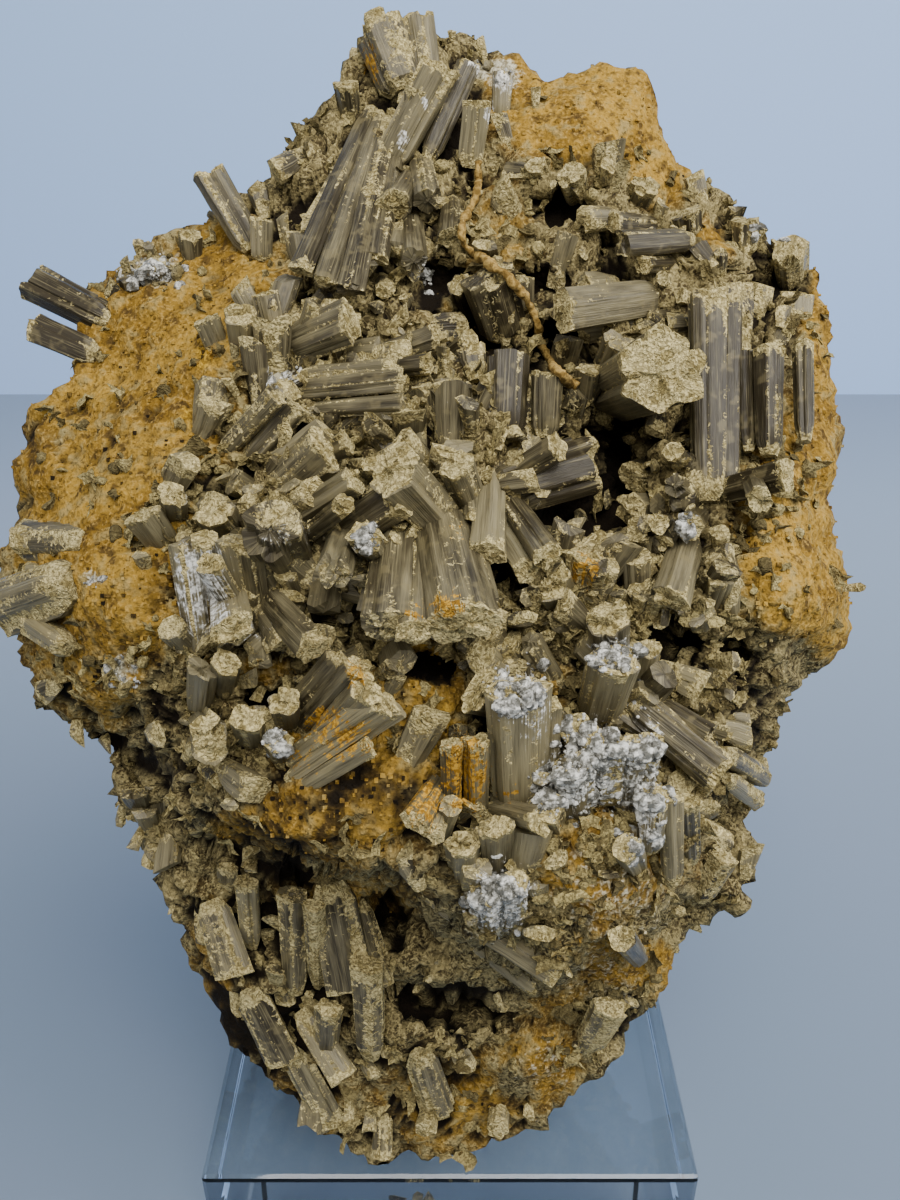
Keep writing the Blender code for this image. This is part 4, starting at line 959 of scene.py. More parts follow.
GROWN_ON = {
    "middle_columns": [
        (505, 440, 508, 352, 40, 4.0, 0.8), (545, 438, 548, 372, 32, 4.0, 0.8),
        (462, 436, 452, 380, 34, 4.0, 0.8), (430, 424, 424, 382, 28, 3.0, 0.8),
        (585, 404, 590, 368, 26, 3.0, 0.9), (604, 568, 602, 540, 28, 3.0, 0.9),
        (582, 600, 588, 556, 36, 4.0, 0.8), (636, 600, 634, 556, 28, 3.0, 0.9),
        (624, 566, 622, 532, 24, 3.0, 0.9), (560, 600, 548, 578, 44, 4.0, 0.9),
        (380, 560, 366, 538, 27, 9.0, 1),
    ],
    "left_druse": [
        (160, 292, 152, 262, 34, 2.5, 0.9), (192, 262, 190, 232, 26, 2.5, 0.9),
        (134, 300, 130, 276, 22, 2.0, 1),
    ],
    "collar_columns": [
        (408, 180, 392, 208, 38, 4.0, 0.9), (420, 160, 428, 202, 32, 3.5, 0.9),
        (410, 216, 414, 262, 28, 4.0, 0.9), (452, 200, 450, 240, 26, 3.0, 0.9),
    ],
    "brow_columns": [
        (578, 198, 570, 172, 30, 2.0, 0.9), (606, 194, 612, 166, 24, 1.5, 0.9),
        (544, 186, 536, 164, 22, 1.5, 0.9), (634, 208, 646, 184, 30, 2.0, 0.8),
        (522, 318, 520, 274, 26, 3.0, 0.9), (500, 120, 503, 72, 26, 3.0, 0.9),
    ],
    "striped_prisms": [
        (692, 240, 620, 244, 30, 5.0, 0.8), (660, 226, 612, 222, 22, 3.5, 0.8),
        (676, 262, 640, 264, 20, 3.5, 0.8),
    ],
    "rim_caps": [
        (794, 288, 790, 246, 48, 3.5, 0.7), (744, 256, 745, 218, 30, 3.0, 0.9),
        (690, 238, 686, 212, 30, 3.0, 0.8), (796, 322, 796, 292, 40, 2.5, 0.7),
        (805, 442, 803, 342, 22, 3.5, 0.9),
    ],
    "hollow_caps": [
        (652, 470, 634, 478, 36, 6.0, 0.9), (650, 506, 630, 510, 34, 6.0, 0.9),
        (668, 520, 658, 524, 18, 6.0, 1), (684, 462, 673, 452, 18, 5.0, 1),
        (690, 492, 674, 484, 20, 5.5, 1),
    ],
    "lying_prism": [
        (722, 492, 790, 474, 30, 5.0, 0.8), (700, 514, 690, 528, 26, 5.0, 0.9),
        (750, 474, 760, 500, 23, 7.0, 1),
    ],
    "rounded_prism": [
        (690, 534, 670, 602, 34, 5.0, 0.8), (712, 612, 722, 578, 24, 3.0, 0.9),
        (722, 566, 719, 532, 18, 4.0, 1),
    ],
    "left_crusts": [
        (166, 548, 140, 512, 34, 4.0, 0.6), (232, 534, 212, 512, 40, 5.0, 0.6),
        (176, 520, 172, 494, 28, 4.0, 0.8),
    ],
    "crust_cluster": [
        (198, 712, 202, 668, 28, 6.0, 0.7), (222, 696, 226, 662, 30, 6.5, 0.7),
        (204, 728, 210, 740, 46, 6.5, 0.7), (254, 742, 248, 716, 32, 6.5, 0.8),
        (290, 724, 284, 700, 30, 5.5, 0.8), (282, 758, 278, 740, 26, 6.5, 0.9),
    ],
    "lower_prisms": [
        (490, 808, 541, 822, 24, 6.5, 0.9), (497, 880, 496, 824, 30, 6.5, 0.8),
        (466, 886, 462, 842, 30, 4.5, 0.8), (492, 926, 488, 888, 34, 5.5, 0.9),
        (516, 922, 514, 882, 26, 6.0, 0.9),
    ],
    "ledge_bar": [
        (424, 890, 560, 976, 30, 4.0, 0.7), (470, 940, 530, 985, 20, 2.5, 0.8),
    ],
    "post_columns": [
        (612, 664, 607, 613, 38, 7.0, 0.9), (596, 716, 614, 656, 46, 7.5, 0.8),
        (640, 690, 648, 646, 24, 4.0, 0.9), (560, 690, 530, 640, 22, 2.5, 0.7),
    ],
    "pale_chip": [
        (584, 740, 577, 729, 32, 5.0, 0.8),
    ],
    "right_corner_tips": [
        (724, 752, 762, 776, 28, 2.5, 0.8), (726, 778, 756, 800, 22, 2.0, 0.8),
    ],
    "right_foot_columns": [
        (700, 900, 726, 856, 30, 3.0, 0.8), (672, 884, 670, 792, 22, 5.0, 0.9),
        (692, 862, 688, 800, 20, 4.0, 0.9),
    ],
    "brown_columns": [
        (296, 992, 292, 892, 30, 4.5, 0.8), (318, 986, 314, 904, 24, 5.0, 0.8),
        (252, 946, 246, 880, 26, 3.5, 0.8), (210, 900, 236, 978, 40, 0.6, 0.5),
        (250, 990, 286, 1062, 44, 1.2, 0.5), (290, 1050, 330, 1124, 34, 1.0, 0.6),
        (330, 880, 352, 990, 52, 2.6, 0.6), (356, 900, 384, 986, 36, 3.0, 0.6),
        (300, 1010, 344, 1080, 34, 4.0, 0.6), (420, 1052, 440, 1110, 40, 2.5, 0.7),
    ],
    "grey_column": [
        (372, 1056, 368, 964, 40, 5.5, 0.8), (326, 1052, 330, 1004, 30, 4.0, 0.9),
    ],
    "fluted_cap": [
        (586, 1046, 610, 1004, 38, 4.0, 0.8), (640, 960, 622, 938, 24, 3.0, 0.9),
    ],
    "left_outer_columns": [
        (74, 582, 8, 606, 62, -4.0, 0.8), (84, 544, 22, 540, 40, -3.5, 0.8),
        (70, 648, 34, 622, 34, -3.5, 0.9),
    ],
    "foot_columns": [
        (500, 1106, 498, 1130, 26, 3.0, 0.9), (432, 1096, 424, 1130, 24, 3.5, 0.9),
        (384, 1112, 381, 1158, 22, 3.0, 0.9),
    ],
    "grey_lumps": [
        (222, 356, 206, 316, 26, 3.5, 0.9), (244, 354, 240, 312, 30, 4.5, 0.9),
        (278, 352, 264, 292, 26, 4.0, 0.8), (300, 350, 318, 306, 26, 4.5, 0.8),
        (200, 440, 214, 402, 24, 3.0, 0.9),
    ],
}

# %% [markdown]
# ### Stains, frost, painted glints, painted shade and dust
# On the real stone iron stains some tips orange, a frost of druse whitens others and dust dulls the foot.
# A few small white spots are painted glints, and some columns are painted darker as painted shade. Noise
# alone could do it, but then a stain would turn up anywhere. Soft ovals on the layout sheet put each where
# it belongs, and the finish frays their edges along the needles.

# %% Stains, frost, painted glints, painted shade and dust on the columns
STAINED = [
    (370, 68, 10, 34, 0.85), (448, 605, 22, 16, 0.95), (414, 612, 12, 10, 0.85), (456, 535, 22, 26, 0.5),
    (355, 675, 14, 18, 0.85), (328, 724, 26, 22, 0.9), (348, 738, 36, 26, 0.85), (300, 760, 30, 16, 0.6),
    (466, 775, 26, 48, 0.95), (508, 792, 14, 10, 0.9), (425, 800, 26, 34, 0.9), (585, 570, 18, 22, 0.9),
    (270, 670, 36, 12, 0.5), (565, 938, 40, 50, 0.5), (575, 835, 28, 36, 0.5), (405, 175, 12, 12, 0.4),
]
# Frost; the small patches at (318, 122), (402, 140), (425, 100), (489, 112) and (428, 280) are painted
# glints.
FROST_AND_PAINTED_GLINTS = [
    (482, 62, 14, 14, 0.8), (505, 76, 18, 18, 0.9), (318, 122, 8, 8, 1.0), (402, 140, 6, 14, 0.95),
    (425, 100, 5, 12, 0.9), (489, 112, 5, 16, 0.9), (428, 280, 10, 16, 1.1), (281, 375, 20, 12, 0.8),
    (366, 538, 16, 14, 0.9), (200, 585, 30, 56, 0.85), (230, 626, 34, 18, 0.9), (278, 740, 14, 16, 0.7),
    (520, 695, 30, 30, 0.75), (536, 720, 20, 26, 0.6), (614, 656, 28, 20, 0.8), (547, 786, 16, 30, 0.8),
    (590, 768, 40, 50, 0.75), (642, 785, 28, 70, 0.7), (498, 900, 34, 36, 0.85), (685, 524, 14, 12, 0.8),
    (372, 964, 20, 30, 0.3), (462, 462, 16, 10, 0.5), (284, 530, 30, 26, 0.5),
]
# Columns painted darker: painted shade.
PAINTED_SHADE_ON_COLUMNS = [
    (716, 400, 60, 120, 0.9), (655, 240, 60, 30, 0.7), (600, 460, 60, 50, 0.7), (490, 310, 60, 50, 0.6),
    (540, 400, 60, 50, 0.6), (330, 230, 70, 70, 0.4), (350, 380, 60, 40, 0.4), (70, 320, 70, 60, 1.0),
]
DUSTY = [
    (290, 970, 110, 130, 0.3), (365, 1020, 50, 60, 0.25), (40, 590, 40, 60, 0.3), (740, 780, 40, 30, 0.35),
    (700, 850, 40, 70, 0.3), (600, 1020, 50, 40, 0.4), (430, 1120, 90, 40, 0.45), (270, 505, 26, 20, 0.3),
    (395, 60, 60, 40, 0.25), (560, 180, 110, 36, 0.4), (770, 270, 60, 50, 0.3), (716, 294, 30, 14, 0.7),
]

# %% [markdown]
# ### The clusters
# A row of the table gives a column on the sheet, and the rock's own height there says how deep its root
# lies. A column that stands up needs a deeper root than one that lies down, so that no root shows.

# %% Clusters
ROOT_BURIED = (1.4, 4.5)  # how deep the root of a lying column lies, and of one that stands straight out
STANDING = 5.0  # a column that runs less than this over the sheet counts as standing


def laid_out(row):
    """A table row's root, tip, width and thickness: a root lies deeper the more the column stands up."""
    x0, y0, x1, y1, width, height, flat = row
    lying = 1 - math.exp(-((math.hypot(x1 - x0, y1 - y0) * STEP / STANDING) ** 2))
    buried = ROOT_BURIED[1] + (ROOT_BURIED[0] - ROOT_BURIED[1]) * lying
    root = sheet_point(x0, y0, front_height(x0, y0) - buried)
    tip = sheet_point(x1, y1, front_height(x1, y1) + height)
    return root, tip, width * STEP, flat


columns_made = 0  # also the seed of each column
laid = []  # root, tip, width and thickness of each column from the tables
shown = [(rock_points, rock_normals)]  # what a druse may grow on
for name, rows in CLUSTERS.items():
    surfaces = []
    for row in rows:
        columns_made += 1
        laid.append(laid_out(row))
        surfaces.append(column_surface(*laid[-1], seed=columns_made))
    points, faces, coat, fibres = join(surfaces)
    shown.append((points, vertex_normals(points, faces)))
    cluster = add_piece(name + "_columns", points, faces, smoky_aragonite, coat, fibres, sharp=28)
    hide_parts(name)

# %% [markdown]
# ### Columns that are one with the rock
# These grew out of the same mass and are made as one piece. In front they come from the table, too. Round
# the sides and the back they stand in sprays, a few columns that fan out of one place. Those could be laid
# out by hand as well, but a place, a length and a width for each spray are enough where none is singled out.

# %% Columns that are one with the rock
# Each spray: its angle round the outline, its angle from the front, how many, length, width, seed.
SPRAYS = {
    "right_flank_spray": (-6, 116, 6, 7.0, 6.0, 11),
    "right_shoulder_spray": (40, 112, 5, 6.0, 5.5, 12),
    "left_flank_spray": (198, 116, 6, 6.0, 6.0, 13),
    "left_shoulder_spray": (134, 114, 5, 6.0, 5.5, 14),
    "top_spray_behind": (88, 122, 5, 3.0, 6.5, 15),
    "back_high_spray": (60, 152, 6, 5.0, 7.5, 16),
    "back_low_spray": (250, 148, 5, 5.0, 7.0, 17),
    "right_heel_spray": (316, 122, 5, 5.5, 5.5, 19),
}
SPRAY_SPREAD = 0.9
SPRAY_BURIED = 6.0


def direction(turn, lean):
    """A unit direction from an angle round the outline and an angle from the front, in degrees."""
    turn, lean = math.radians(turn), math.radians(lean)
    return np.array([math.cos(turn) * math.sin(lean), math.sin(turn) * math.sin(lean), math.cos(lean)])


def spray_columns(turn, lean, count, length, width, seed):
    """Columns that fan out of one place on the stone, each a little longer or shorter than the next."""
    random = np.random.default_rng(seed)
    foot = stone_surface(direction(turn, lean)[None])[0]
    out = unit(foot - INNER_MIDDLE)
    side = unit(np.cross(out, direction(turn + 90, 90)))
    other = np.cross(out, side)
    made = []
    for n in range(count):
        around = random.uniform(0, 2 * math.pi)
        aside = (side * math.cos(around) + other * math.sin(around)) * random.uniform(0.2, 1.3)
        root = foot - SPRAY_BURIED * out + aside * width * 0.8
        tip = foot + (out + aside * SPRAY_SPREAD) * length * random.uniform(0.5, 1.1)
        made.append((root, tip, width * random.uniform(0.7, 1.1), random.uniform(0.7, 1.0)))
    return made


surfaces = []
for rows in GROWN_ON.values():
    for row in rows:
        columns_made += 1
        laid.append(laid_out(row))
        surfaces.append(column_surface(*laid[-1], seed=columns_made, around=30, rows=9, cap_rows=5))
for values in SPRAYS.values():
    for column in spray_columns(*values):
        columns_made += 1
        surfaces.append(column_surface(*column, seed=columns_made, around=30, rows=9, cap_rows=5))
points, faces, coat, fibres = join(surfaces)
shown.append((points, vertex_normals(points, faces)))
grown = add_piece("grown_on_columns", points, faces, smoky_aragonite, coat, fibres, sharp=28)
print(columns_made, "columns laid out")

# %% [markdown]
# ## Small things between the columns
# Most of the surface is not the big columns but what fills the space between them: short broken columns,
# curly crust, grains of rock and sparkling druse. They are scattered on the rock's own vertices, so each
# one sits on the rock from every side. A scattered shape has few faces, because there are many of them.


# %% Scattering
def pick(weight, count, seed):
    """Numbers of rock vertices, picked with a chance that follows their weight."""
    random = np.random.default_rng(seed)
    return random.choice(len(weight), count, replace=True, p=weight / weight.sum())


SHORT_COLUMNS, LYING_BLADES, LUMPS_OF_CRUST, PLATES, CRUMBS = 1000, 420, 560, 1800, 6000
POINTED_CRYSTALS, SKIN_LUMPS = 2800, 620
front_x, front_y = sheet_place(rock_points)
facing_out = rock_normals[:, 2]
column_middles = np.array([(column[0] + column[1]) / 2 for column in laid])
column_axes = np.array([unit(column[1] - column[0]) for column in laid])
LEAST_RISE = 0.4  # how far a short column stands up from the rock, at least


def short_columns(count, seed, weight):
    """Thin broken columns that lie beside the nearest laid out column, more or less."""
    random = np.random.default_rng(seed)
    surfaces = []
    for n, vertex in enumerate(pick(weight, count, seed)):
        foot, normal = rock_points[vertex], rock_normals[vertex]
        near = column_axes[np.argmin(np.linalg.norm(column_middles - foot, axis=1))]
        share = 1.2 if facing_out[vertex] > 0.2 and foot[2] > -20 and near @ normal > -0.3 else 0.0
        axis = unit(normal * random.uniform(0.3, 0.9) + near * share + random.normal(0, 0.25, 3))
        axis = unit(axis + normal * max(0.0, LEAST_RISE - axis @ normal))
        width = random.uniform(0.7, 1.6) ** 2
        length = width * random.uniform(0.8, 2.2)
        root, tip = foot - 0.6 * normal - axis * (0.6 + 0.3 * width), foot + axis * length
        flat = random.uniform(0.3, 0.85)
        surfaces.append(column_surface(root, tip, width, flat, seed + n, 6, 2, 1, slant=0.5, bare=0.7))
    return surfaces


def lying_blades(count, seed, weight):
    """Flat columns that lie in the rock beside the nearest laid out one, with about half of each showing."""
    random = np.random.default_rng(seed)
    surfaces = []
    for n, vertex in enumerate(pick(weight, count, seed)):
        foot, normal = rock_points[vertex], rock_normals[vertex]
        near = column_axes[np.argmin(np.linalg.norm(column_middles - foot, axis=1))]
        along = unit(near - normal * (near @ normal) * 0.7 + random.normal(0, 0.2, 3))
        width = random.uniform(1.8, 4.4)
        half = along * width * random.uniform(0.6, 1.2)
        middle = foot + normal * width * random.uniform(-0.1, 0.15)
        root, tip = middle - half - 0.2 * width * normal, middle + half + 0.25 * width * normal
        flat = random.uniform(0.45, 0.8)
        surfaces.append(column_surface(root, tip, width, flat, seed + n, 8, 3, 1, slant=0.25, bare=0.4))
    return surfaces


# Small columns grow where the rock is made of broken crystals and isn't a hollow.
crystalline = np.clip(1 - rock_earthy, 0, 1) ** 2 * (1 - 0.95 * rock_hollow)
off_edge = 0.3 + 0.7 * smooth_step(abs(facing_out), 0.1, 0.45)  # fewer where they'd break the outline
broken = join(short_columns(SHORT_COLUMNS, 500, crystalline * off_edge * np.where(front_y > 980, 0.5, 1.0)))
short = add_piece("short_broken_columns", *broken[:2], smoky_aragonite, broken[2], broken[3], smooth=False)

facing_us = smooth_step(facing_out, 0.35, 0.7)
lying = join(lying_blades(LYING_BLADES, 3500, crystalline * facing_us))
blades = add_piece("lying_blades", lying[0], lying[1], smoky_aragonite, lying[2], lying[3], sharp=28)

# %% [markdown]
# ### Lumps of crust
# Crust grows over everything in knobs like cauliflower. Spheres with a displacement would do, but need many
# faces. Here a cube of 3 x 3 cells a side is blown up and its radius moved by cell noise, all knobs at once.

# %% Lumps
def lump_surfaces(places, normals, sizes, count, seed, lift, roughness):
    """Blown-up cubes, one at each place: radius 1 + roughness * cell noise, raised along the normal."""
    random = np.random.default_rng(seed)
    directions, quads = cube_sphere(count)
    turned = unit(random.normal(0, 1, (len(places), 3)))
    stretch = random.uniform(0.65, 1.15, (len(places), 1, 3))
    shape = directions[None] * stretch
    seeded = shape * 1.6 + 40 * turned[:, None]
    first, second, _ = cells(seeded.reshape(-1, 3), 0.9, seed)
    radius = 1 + roughness * (0.9 - 1.6 * first) - 0.1 * np.exp(-(second - first) / 0.07)
    points = shape * radius.reshape(shape.shape[:2])[..., None] * sizes[:, None, None]
    points = points + (places + normals * (sizes * lift)[:, None])[:, None]
    faces = quads[None] + np.arange(len(places))[:, None, None] * len(directions)
    return points.reshape(-1, 3), faces.reshape(-1, 4), len(directions)


CRUSTED = [
    (405, 190, 45, 30, 1.0), (148, 520, 34, 32, 1.0), (215, 520, 36, 28, 0.9), (208, 700, 34, 56, 1.0),
    (285, 702, 24, 20, 0.9), (686, 220, 26, 22, 0.8), (745, 225, 24, 28, 0.9), (795, 250, 38, 28, 1.0),
    (242, 725, 36, 26, 0.8), (640, 490, 40, 40, 0.9), (560, 180, 70, 34, 0.8), (480, 250, 60, 60, 0.7),
    (520, 330, 60, 40, 0.7), (380, 330, 80, 60, 0.6), (300, 440, 80, 60, 0.6), (540, 400, 90, 40, 0.7),
    (600, 600, 90, 60, 0.6), (690, 690, 60, 60, 0.7), (690, 800, 60, 70, 0.7), (620, 860, 80, 60, 0.7),
    (500, 850, 60, 50, 0.5), (380, 650, 80, 30, 0.5), (460, 440, 50, 30, 0.6), (760, 500, 50, 60, 0.6),
    (540, 960, 80, 40, 0.6), (420, 1060, 80, 50, 0.7), (600, 1030, 50, 50, 0.7), (350, 1000, 80, 60, 0.4),
    (300, 900, 60, 60, 0.4), (730, 340, 90, 60, 0.4), (400, 60, 60, 40, 0.7), (300, 140, 40, 60, 0.5),
    (100, 670, 50, 40, 0.4), (170, 240, 60, 30, 0.5), (720, 870, 40, 40, 0.6), (600, 178, 60, 26, 1.0),
]
crusted = patch_share(front_x, front_y, CRUSTED) * (facing_out > 0) * (rock_points[:, 2] > -34)
border = 4 * rock_earthy * (1 - rock_earthy)  # highest where earth meets crystals
crust_weight = (crusted + 0.12 * crystalline + 0.15 * border) * (1 - 0.95 * rock_hollow)
crust_vertices = pick(crust_weight, LUMPS_OF_CRUST, 601)
random = np.random.default_rng(602)
crust_sizes = random.uniform(0.4, 1.05, len(crust_vertices)) ** 1.3
on_rock = (rock_points[crust_vertices], rock_normals[crust_vertices])
points, faces, each = lump_surfaces(*on_rock, crust_sizes, 3, 603, 0.25, 0.5)


def crust_coat(points, tints):
    """The coat of crust: all crust, stained and paled by the patches, in its own tint."""
    x, y = sheet_place(points)
    stain, pale = patch_share(x, y, STAINED + YELLOW), 0.7 * patch_share(x, y, PALE)
    return np.column_stack([0 * tints + 1, stain, pale, tints])


coat = crust_coat(points, np.repeat(random.uniform(0, 1, len(crust_vertices)), each))
crust_lumps = add_piece("dry_crust_lumps", points, faces, dry_crust, coat=coat)

# %% [markdown]
# ### Curled plates
# The same crust stands in thin curled sheets, broken at their rims. One sheet could be a plane with a bend
# and Solidify. For so many, both faces and the rim are worked out at once: a bent grid, and a second one
# close behind it.


# %% Curled plates of crust
def curled_plates(vertices, widths, seed):
    """Thin sheets, one on each vertex, from two 5 x 4 grids back to back.

    The middle sheet is a * u across and b * v along, raised by curl * u^2 + wave * sin(3 v + phase) and
    by noise. The two sheets lie half the thickness above and below it and meet at the rim.
    """
    random = np.random.default_rng(seed)
    count = len(vertices)
    u, v = np.meshgrid(np.linspace(-1, 1, 5), np.linspace(-1, 1, 4), indexing="ij")
    u, v = u.ravel()[None], v.ravel()[None]
    normal = rock_normals[vertices]
    facing = unit(normal * random.uniform(0.0, 1.0, (count, 1)) + random.normal(0, 0.6, (count, 3)))
    side = unit(np.cross(facing, random.normal(0, 1, (count, 3))))
    other = np.cross(facing, side)
    a, b, curl, wave, phase = (random.uniform(low, high, (count, 1)) for low, high in PLATE_RANGES)
    uneven = 1 + 0.4 * random.uniform(-1, 1, (count, u.size)) * np.maximum(abs(u), abs(v))
    across, along = a * u * uneven, b * v * uneven
    raised = curl * u**2 + wave * np.sin(3 * v + phase) + 0.1 * random.normal(0, 1, (count, u.size))
    thick = 0.16 * (1 - 0.85 * np.maximum(abs(u), abs(v)) ** 4)
    reach = np.maximum(a[:, 0] * abs((side * normal).sum(1)), b[:, 0] * abs((other * normal).sum(1)))
    middle = rock_points[vertices] + normal * (widths * 0.45 * reach)[:, None]
    sheets = [
        middle[:, None]
        + (across[..., None] * side[:, None] + along[..., None] * other[:, None]) * widths[:, None, None]
        + ((raised * widths[:, None] + way * thick)[..., None]) * facing[:, None]
        for way in (1, -1)
    ]
    number = np.arange(u.size).reshape(5, 4)
    corners = [number[:-1, :-1], number[1:, :-1], number[1:, 1:], number[:-1, 1:]]
    top = np.stack(corners, -1).reshape(-1, 4)
    rim = np.concatenate([number[:, 0], number[-1, 1:], number[-2::-1, -1], number[0, -2::-1]])
    walls = np.stack([rim[:-1], rim[:-1] + u.size, rim[1:] + u.size, rim[1:]], -1)
    faces = np.concatenate([top, top[:, ::-1] + u.size, walls])
    points = np.concatenate(sheets, axis=1)
    each = points.shape[1]
    faces = faces[None] + np.arange(count)[:, None, None] * each
    return points.reshape(-1, 3), faces.reshape(-1, 4), each


PLATE_RANGES = [(0.5, 1.0), (0.35, 0.8), (-0.5, 0.6), (0.05, 0.3), (0.0, 6.0)]  # a, b, curl, wave, phase
plate_vertices = pick(crust_weight * (0.1 + 0.9 * facing_us), PLATES, 641)
random = np.random.default_rng(642)
plate_widths = random.uniform(0.8, 1.35, len(plate_vertices)) ** 2
points, faces, each = curled_plates(plate_vertices, plate_widths, 643)
coat = crust_coat(points, np.repeat(random.uniform(0, 1, len(plate_vertices)), each))
plates = add_piece("curled_crust_plates", points, faces, dry_crust, coat=coat, smooth=False)

# %% [markdown]
# ### Crumbs
# Earthy rock sheds crumbs. They are the plainest blown-up cubes, left faceted, in the rock's own finish and
# in the colours of the place that each lies on.

# %% Crumbs of rock
crumb_vertices = pick(rock_earthy**2 + 0.08, CRUMBS, 611)
random = np.random.default_rng(612)
crumb_sizes = random.uniform(0.12, 0.45, len(crumb_vertices))
on_rock = (rock_points[crumb_vertices], rock_normals[crumb_vertices])
points, faces, each = lump_surfaces(*on_rock, crumb_sizes, 1, 613, 0.1, 0.15)
shade = random.uniform(0, 1, len(crumb_vertices))
# Each crumb takes the rock's coat where it lies, painted shade in the alpha included, with a random tone
# added.
crumb_coat = rock_coat[crumb_vertices].copy()
crumb_coat[:, 3] += 0.6 * shade - 0.3
crumb_coat = np.repeat(crumb_coat, each, axis=0)
crumbs = add_piece("rock_crumbs", points, faces, ochre_rock, coat=crumb_coat, smooth=False)

# %% [markdown]
# ### Druse
# Each sparkling patch is a few hundred tiny crystals, six-sided and pointed like a pencil, standing on
# whatever is under them, and between them lies a skin of faceted lumps. A glossy noise texture would look
# wet instead: real faces flash one at a time, so both are left faceted.

# %% Druse
DRUSY = [
    (482, 64, 10, 10, 0.5), (505, 76, 12, 12, 0.4), (152, 270, 30, 14, 0.8), (281, 375, 18, 10, 1.0),
    (366, 538, 13, 12, 1.0), (278, 740, 12, 13, 1.0), (520, 692, 26, 24, 0.9), (614, 656, 26, 17, 0.8),
    (547, 786, 14, 26, 1.0), (590, 768, 36, 44, 0.9), (642, 785, 24, 66, 0.8), (498, 900, 30, 32, 1.0),
    (685, 524, 10, 9, 1.0), (770, 232, 16, 9, 0.7), (122, 672, 18, 16, 0.5), (92, 580, 11, 11, 0.5),
    (427, 279, 7, 12, 1.2),
]


def pointed_crystals(places, axes, sizes, seed):
    """Six-sided pencils: two rings of six and a point, turned to each axis, all worked out at once."""
    random = np.random.default_rng(seed)
    side = unit(np.cross(axes, random.normal(0, 1, axes.shape)))
    other = np.cross(axes, side)
    angle = np.arange(6) * math.pi / 3
    ring = np.cos(angle)[:, None] * side[:, None] + np.sin(angle)[:, None] * other[:, None]
    height = random.uniform(0.3, 1.1, (len(places), 1, 1))
    low = ring * 0.5 - axes[:, None] * 0.5
    high = ring * 0.48 + axes[:, None] * height
    point = axes[:, None] * (height + random.uniform(0.15, 0.45, (len(places), 1, 1)))
    shape = np.concatenate([low, high, 0 * point - 0.5 * axes[:, None], point], axis=1)
    points = places[:, None] + shape * sizes[:, None, None]
    faces = tube_faces(2, 6)[None] + np.arange(len(places))[:, None, None] * shape.shape[1]
    return points.reshape(-1, 3), faces.reshape(-1, 3)


def topmost(points, normals, cell=4):
    """Of all points over the same small square of the sheet, the one that stands out the furthest."""
    x, y = sheet_place(points)
    square = (x // cell).astype(int) * 4096 + (y // cell).astype(int)
    order = np.lexsort((points[:, 2], square))
    last = np.append(square[order][1:] != square[order][:-1], True)
    return points[order[last]], normals[order[last]]


top_points, top_normals = topmost(*(np.concatenate(arrays) for arrays in zip(*shown)))
druse_weight = patch_share(*sheet_place(top_points), DRUSY) ** 2 * (top_points[:, 2] > -30)
druse_at = pick(druse_weight, POINTED_CRYSTALS, 701)
random = np.random.default_rng(702)
places = top_points[druse_at] - 0.2 * top_normals[druse_at] + random.normal(0, 0.1, (len(druse_at), 3))
axes = unit(unit(top_normals[druse_at]) + [0, 0, 0.4] + random.normal(0, 0.5, (len(druse_at), 3)))
points, faces = pointed_crystals(places, axes, random.uniform(0.16, 0.46, len(druse_at)), 703)
druse = add_piece("white_druse", points, faces, druse_finish, smooth=False)

skin_at = pick(druse_weight, SKIN_LUMPS, 711)
random = np.random.default_rng(712)
skin_sizes = random.uniform(0.35, 1.05, len(skin_at))
points, faces, _ = lump_surfaces(top_points[skin_at], top_normals[skin_at], skin_sizes, 3, 713, -0.6, 0.3)
skin = add_piece("silvery_druse_skin", points, faces, druse_finish, smooth=False)

# %% [markdown]
# ### The tan string
# A thread of brownish crust hangs down over the middle of the face, knotty and about a millimetre thick.
# It is a circle carried along a path, its radius swelling with noise.

# %% The tan string
STRING = [
    (478, 160), (480, 182), (474, 202), (461, 224), (463, 244), (488, 262), (505, 275), (520, 290),
    (534, 312), (541, 345), (556, 372), (578, 388),
]
STRING_RADIUS = 0.5


def top_height(x, y, reach=7):
    """How far the topmost point within a few steps of each place stands out of the sheet."""
    near_x, near_y = sheet_place(top_points)
    away = np.hypot(near_x[None] - x[:, None], near_y[None] - y[:, None])
    return np.where(away < reach, top_points[:, 2], -99).max(axis=1)


def string_surface(count=220, around=12):
    """Ring at each step of the path: middle + radius * (side cos a + other sin a), radius 1 + knots."""
    knots = np.linspace(0, len(STRING) - 1, count)
    x, y = (np.interp(knots, np.arange(len(STRING)), side) for side in np.array(STRING, float).T)
    height = top_height(x, y)
    blur = np.ones(9) / 9
    x, y, height = (np.convolve(np.pad(side, 4, mode="edge"), blur, mode="valid") for side in (x, y, height))
    middle = sheet_point(x, y, height + 0.3)
    along = unit(np.gradient(middle, axis=0))
    side = unit(np.cross(along, [0.0, 0.0, 1.0]))
    other = np.cross(side, along)
    angle = np.arange(around) / around * 2 * math.pi
    ring = np.cos(angle)[:, None] * side[:, None] + np.sin(angle)[:, None] * other[:, None]
    start = middle[:, None] + ring * STRING_RADIUS
    swell = 1 + 0.6 * noise(start, 1.5, 91) + 0.5 * noise(start, 0.6, 92)
    points = (middle[:, None] + ring * STRING_RADIUS * swell[..., None]).reshape(-1, 3)
    points = np.concatenate([points, middle[[0, -1]]])
    return points, tube_faces(count, around)[:, ::-1]


points, faces = string_surface()
string = add_piece("tan_crust_string", points, faces, tan_thread)

# %% [markdown]
# ## The block and the room
# The block is right as it is in the solid model, so it only gets its finish. The stone stands in front of a
# pale blue backdrop, under one big soft light above it, with weaker ones from the sides.

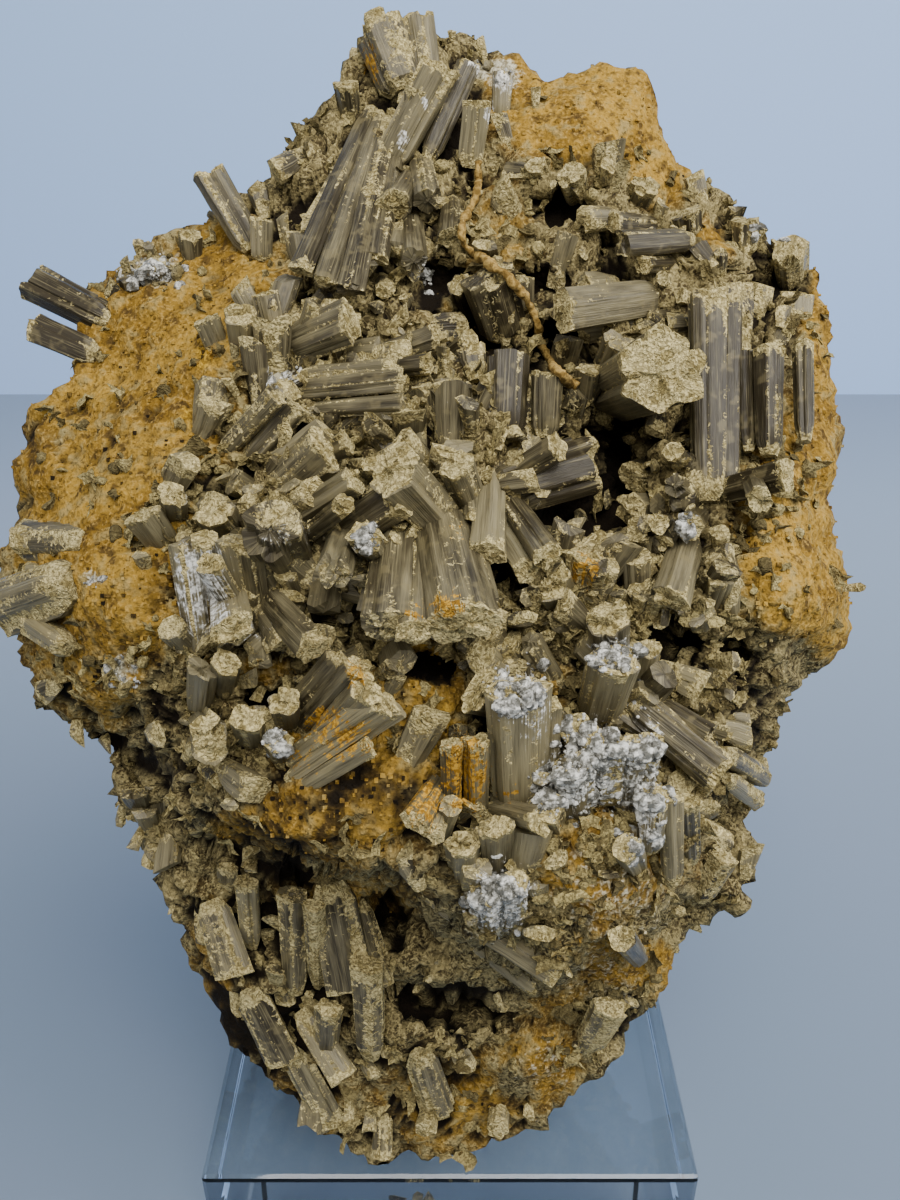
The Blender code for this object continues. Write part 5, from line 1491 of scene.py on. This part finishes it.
# %% The clear block
block = frame["nodes"]["acrylic_block"]
block.data.materials.clear()
block.data.materials.append(clear_acrylic)

# %% [markdown]
# ### The room
# A stone like this is shown on plain paint, so that nothing else draws the eye. The two boards are plain
# planes. The camera stands where the layout sheet's heights all point to, so the layout is seen as drawn.

# %% Floor, backdrop, lights and camera
BACKDROP_AT = 0.44


def make_painted_board(name, first, second):
    """Matt paint: one colour in front of the block, turning smoothly to another further away. On the floor
    the darker front is painted shade.
    """
    made, tree = new_finish(name)
    where = add_node(tree, "TexCoord", output="Object")
    away = add_node(tree, "SeparateXYZ", {0: where}, output="Y")
    shade = layer(tree, away, -0.06, 0.3, linear(first), linear(second))
    links = {"Base Color": shade, "Roughness": 0.8, "Specular IOR Level": 0.1}
    shader = add_node(tree, "BsdfPrincipled", links)
    add_node(tree, "OutputMaterial", {"Surface": shader})
    return made


def add_board(name, corners, finish):
    """One flat face that isn't part of the object."""
    mesh = bpy.data.meshes.new(name)
    mesh.from_pydata(corners, [], [(0, 1, 2, 3)])
    mesh.materials.append(finish)
    board = bpy.data.objects.new(name, mesh)
    bpy.context.scene.collection.objects.link(board)


# The floor is painted darker towards the front, as painted shade; the backdrop is even.
floor_with_painted_shade = make_painted_board("floor_board_with_painted_shade", "#6B798B", "#8E9DB1")
backdrop_paint = make_painted_board("painted_backdrop_board", "#A7C7F4", "#A7C7F4")
near, far, high, low = -1.5, BACKDROP_AT, 1.6, -0.0003  # the floor a hair under the block, so both show
add_board("floor", [(-2, near, low), (2, near, low), (2, far, low), (-2, far, low)], floor_with_painted_shade)
add_board("backdrop", [(-2, far, low), (2, far, low), (2, far, high), (-2, far, high)], backdrop_paint)


def add_light(name, place, size, energy, aim=(0, 0, 0.1), colour=(1, 1, 1)):
    """A square area light that faces a point."""
    light = bpy.data.lights.new(name, "AREA")
    light.size, light.energy, light.color = size, energy, colour
    made = bpy.data.objects.new(name, light)
    bpy.context.scene.collection.objects.link(made)
    made.location = place
    away = np.array(place) - np.array(aim)
    flat = math.hypot(away[0], away[1])
    made.rotation_euler = (math.atan2(flat, away[2]), 0, math.atan2(away[0], -away[1]))


add_light("soft_light_above", (0.10, -0.36, 0.66), 0.5, 7.4, colour=(1.0, 0.97, 0.92))
add_light("window_left", (-0.55, -0.35, 0.35), 0.35, 1.0, colour=(1.0, 0.98, 0.95))
add_light("window_right", (0.52, -0.12, 0.42), 0.4, 3.6, colour=(1.0, 0.98, 0.95))

world_light = bpy.data.worlds.new("room")
bpy.context.scene.world = world_light
world_light.use_nodes = True
world_light.node_tree.nodes["Background"].inputs["Color"].default_value = linear("#F0EEE9")
world_light.node_tree.nodes["Background"].inputs["Strength"].default_value = 0.58

camera = bpy.data.cameras.new("camera")
camera.lens, camera.sensor_width, camera.clip_start = 30, 36, 0.01
viewer = bpy.data.objects.new("camera", camera)
viewer.location = (SHEET_ORIGIN + SHEET_REACH * OUT) / 1000
viewer.rotation_euler = (math.pi / 2 - SHEET_LEAN, 0, 0)
bpy.context.scene.collection.objects.link(viewer)
bpy.context.scene.camera = viewer
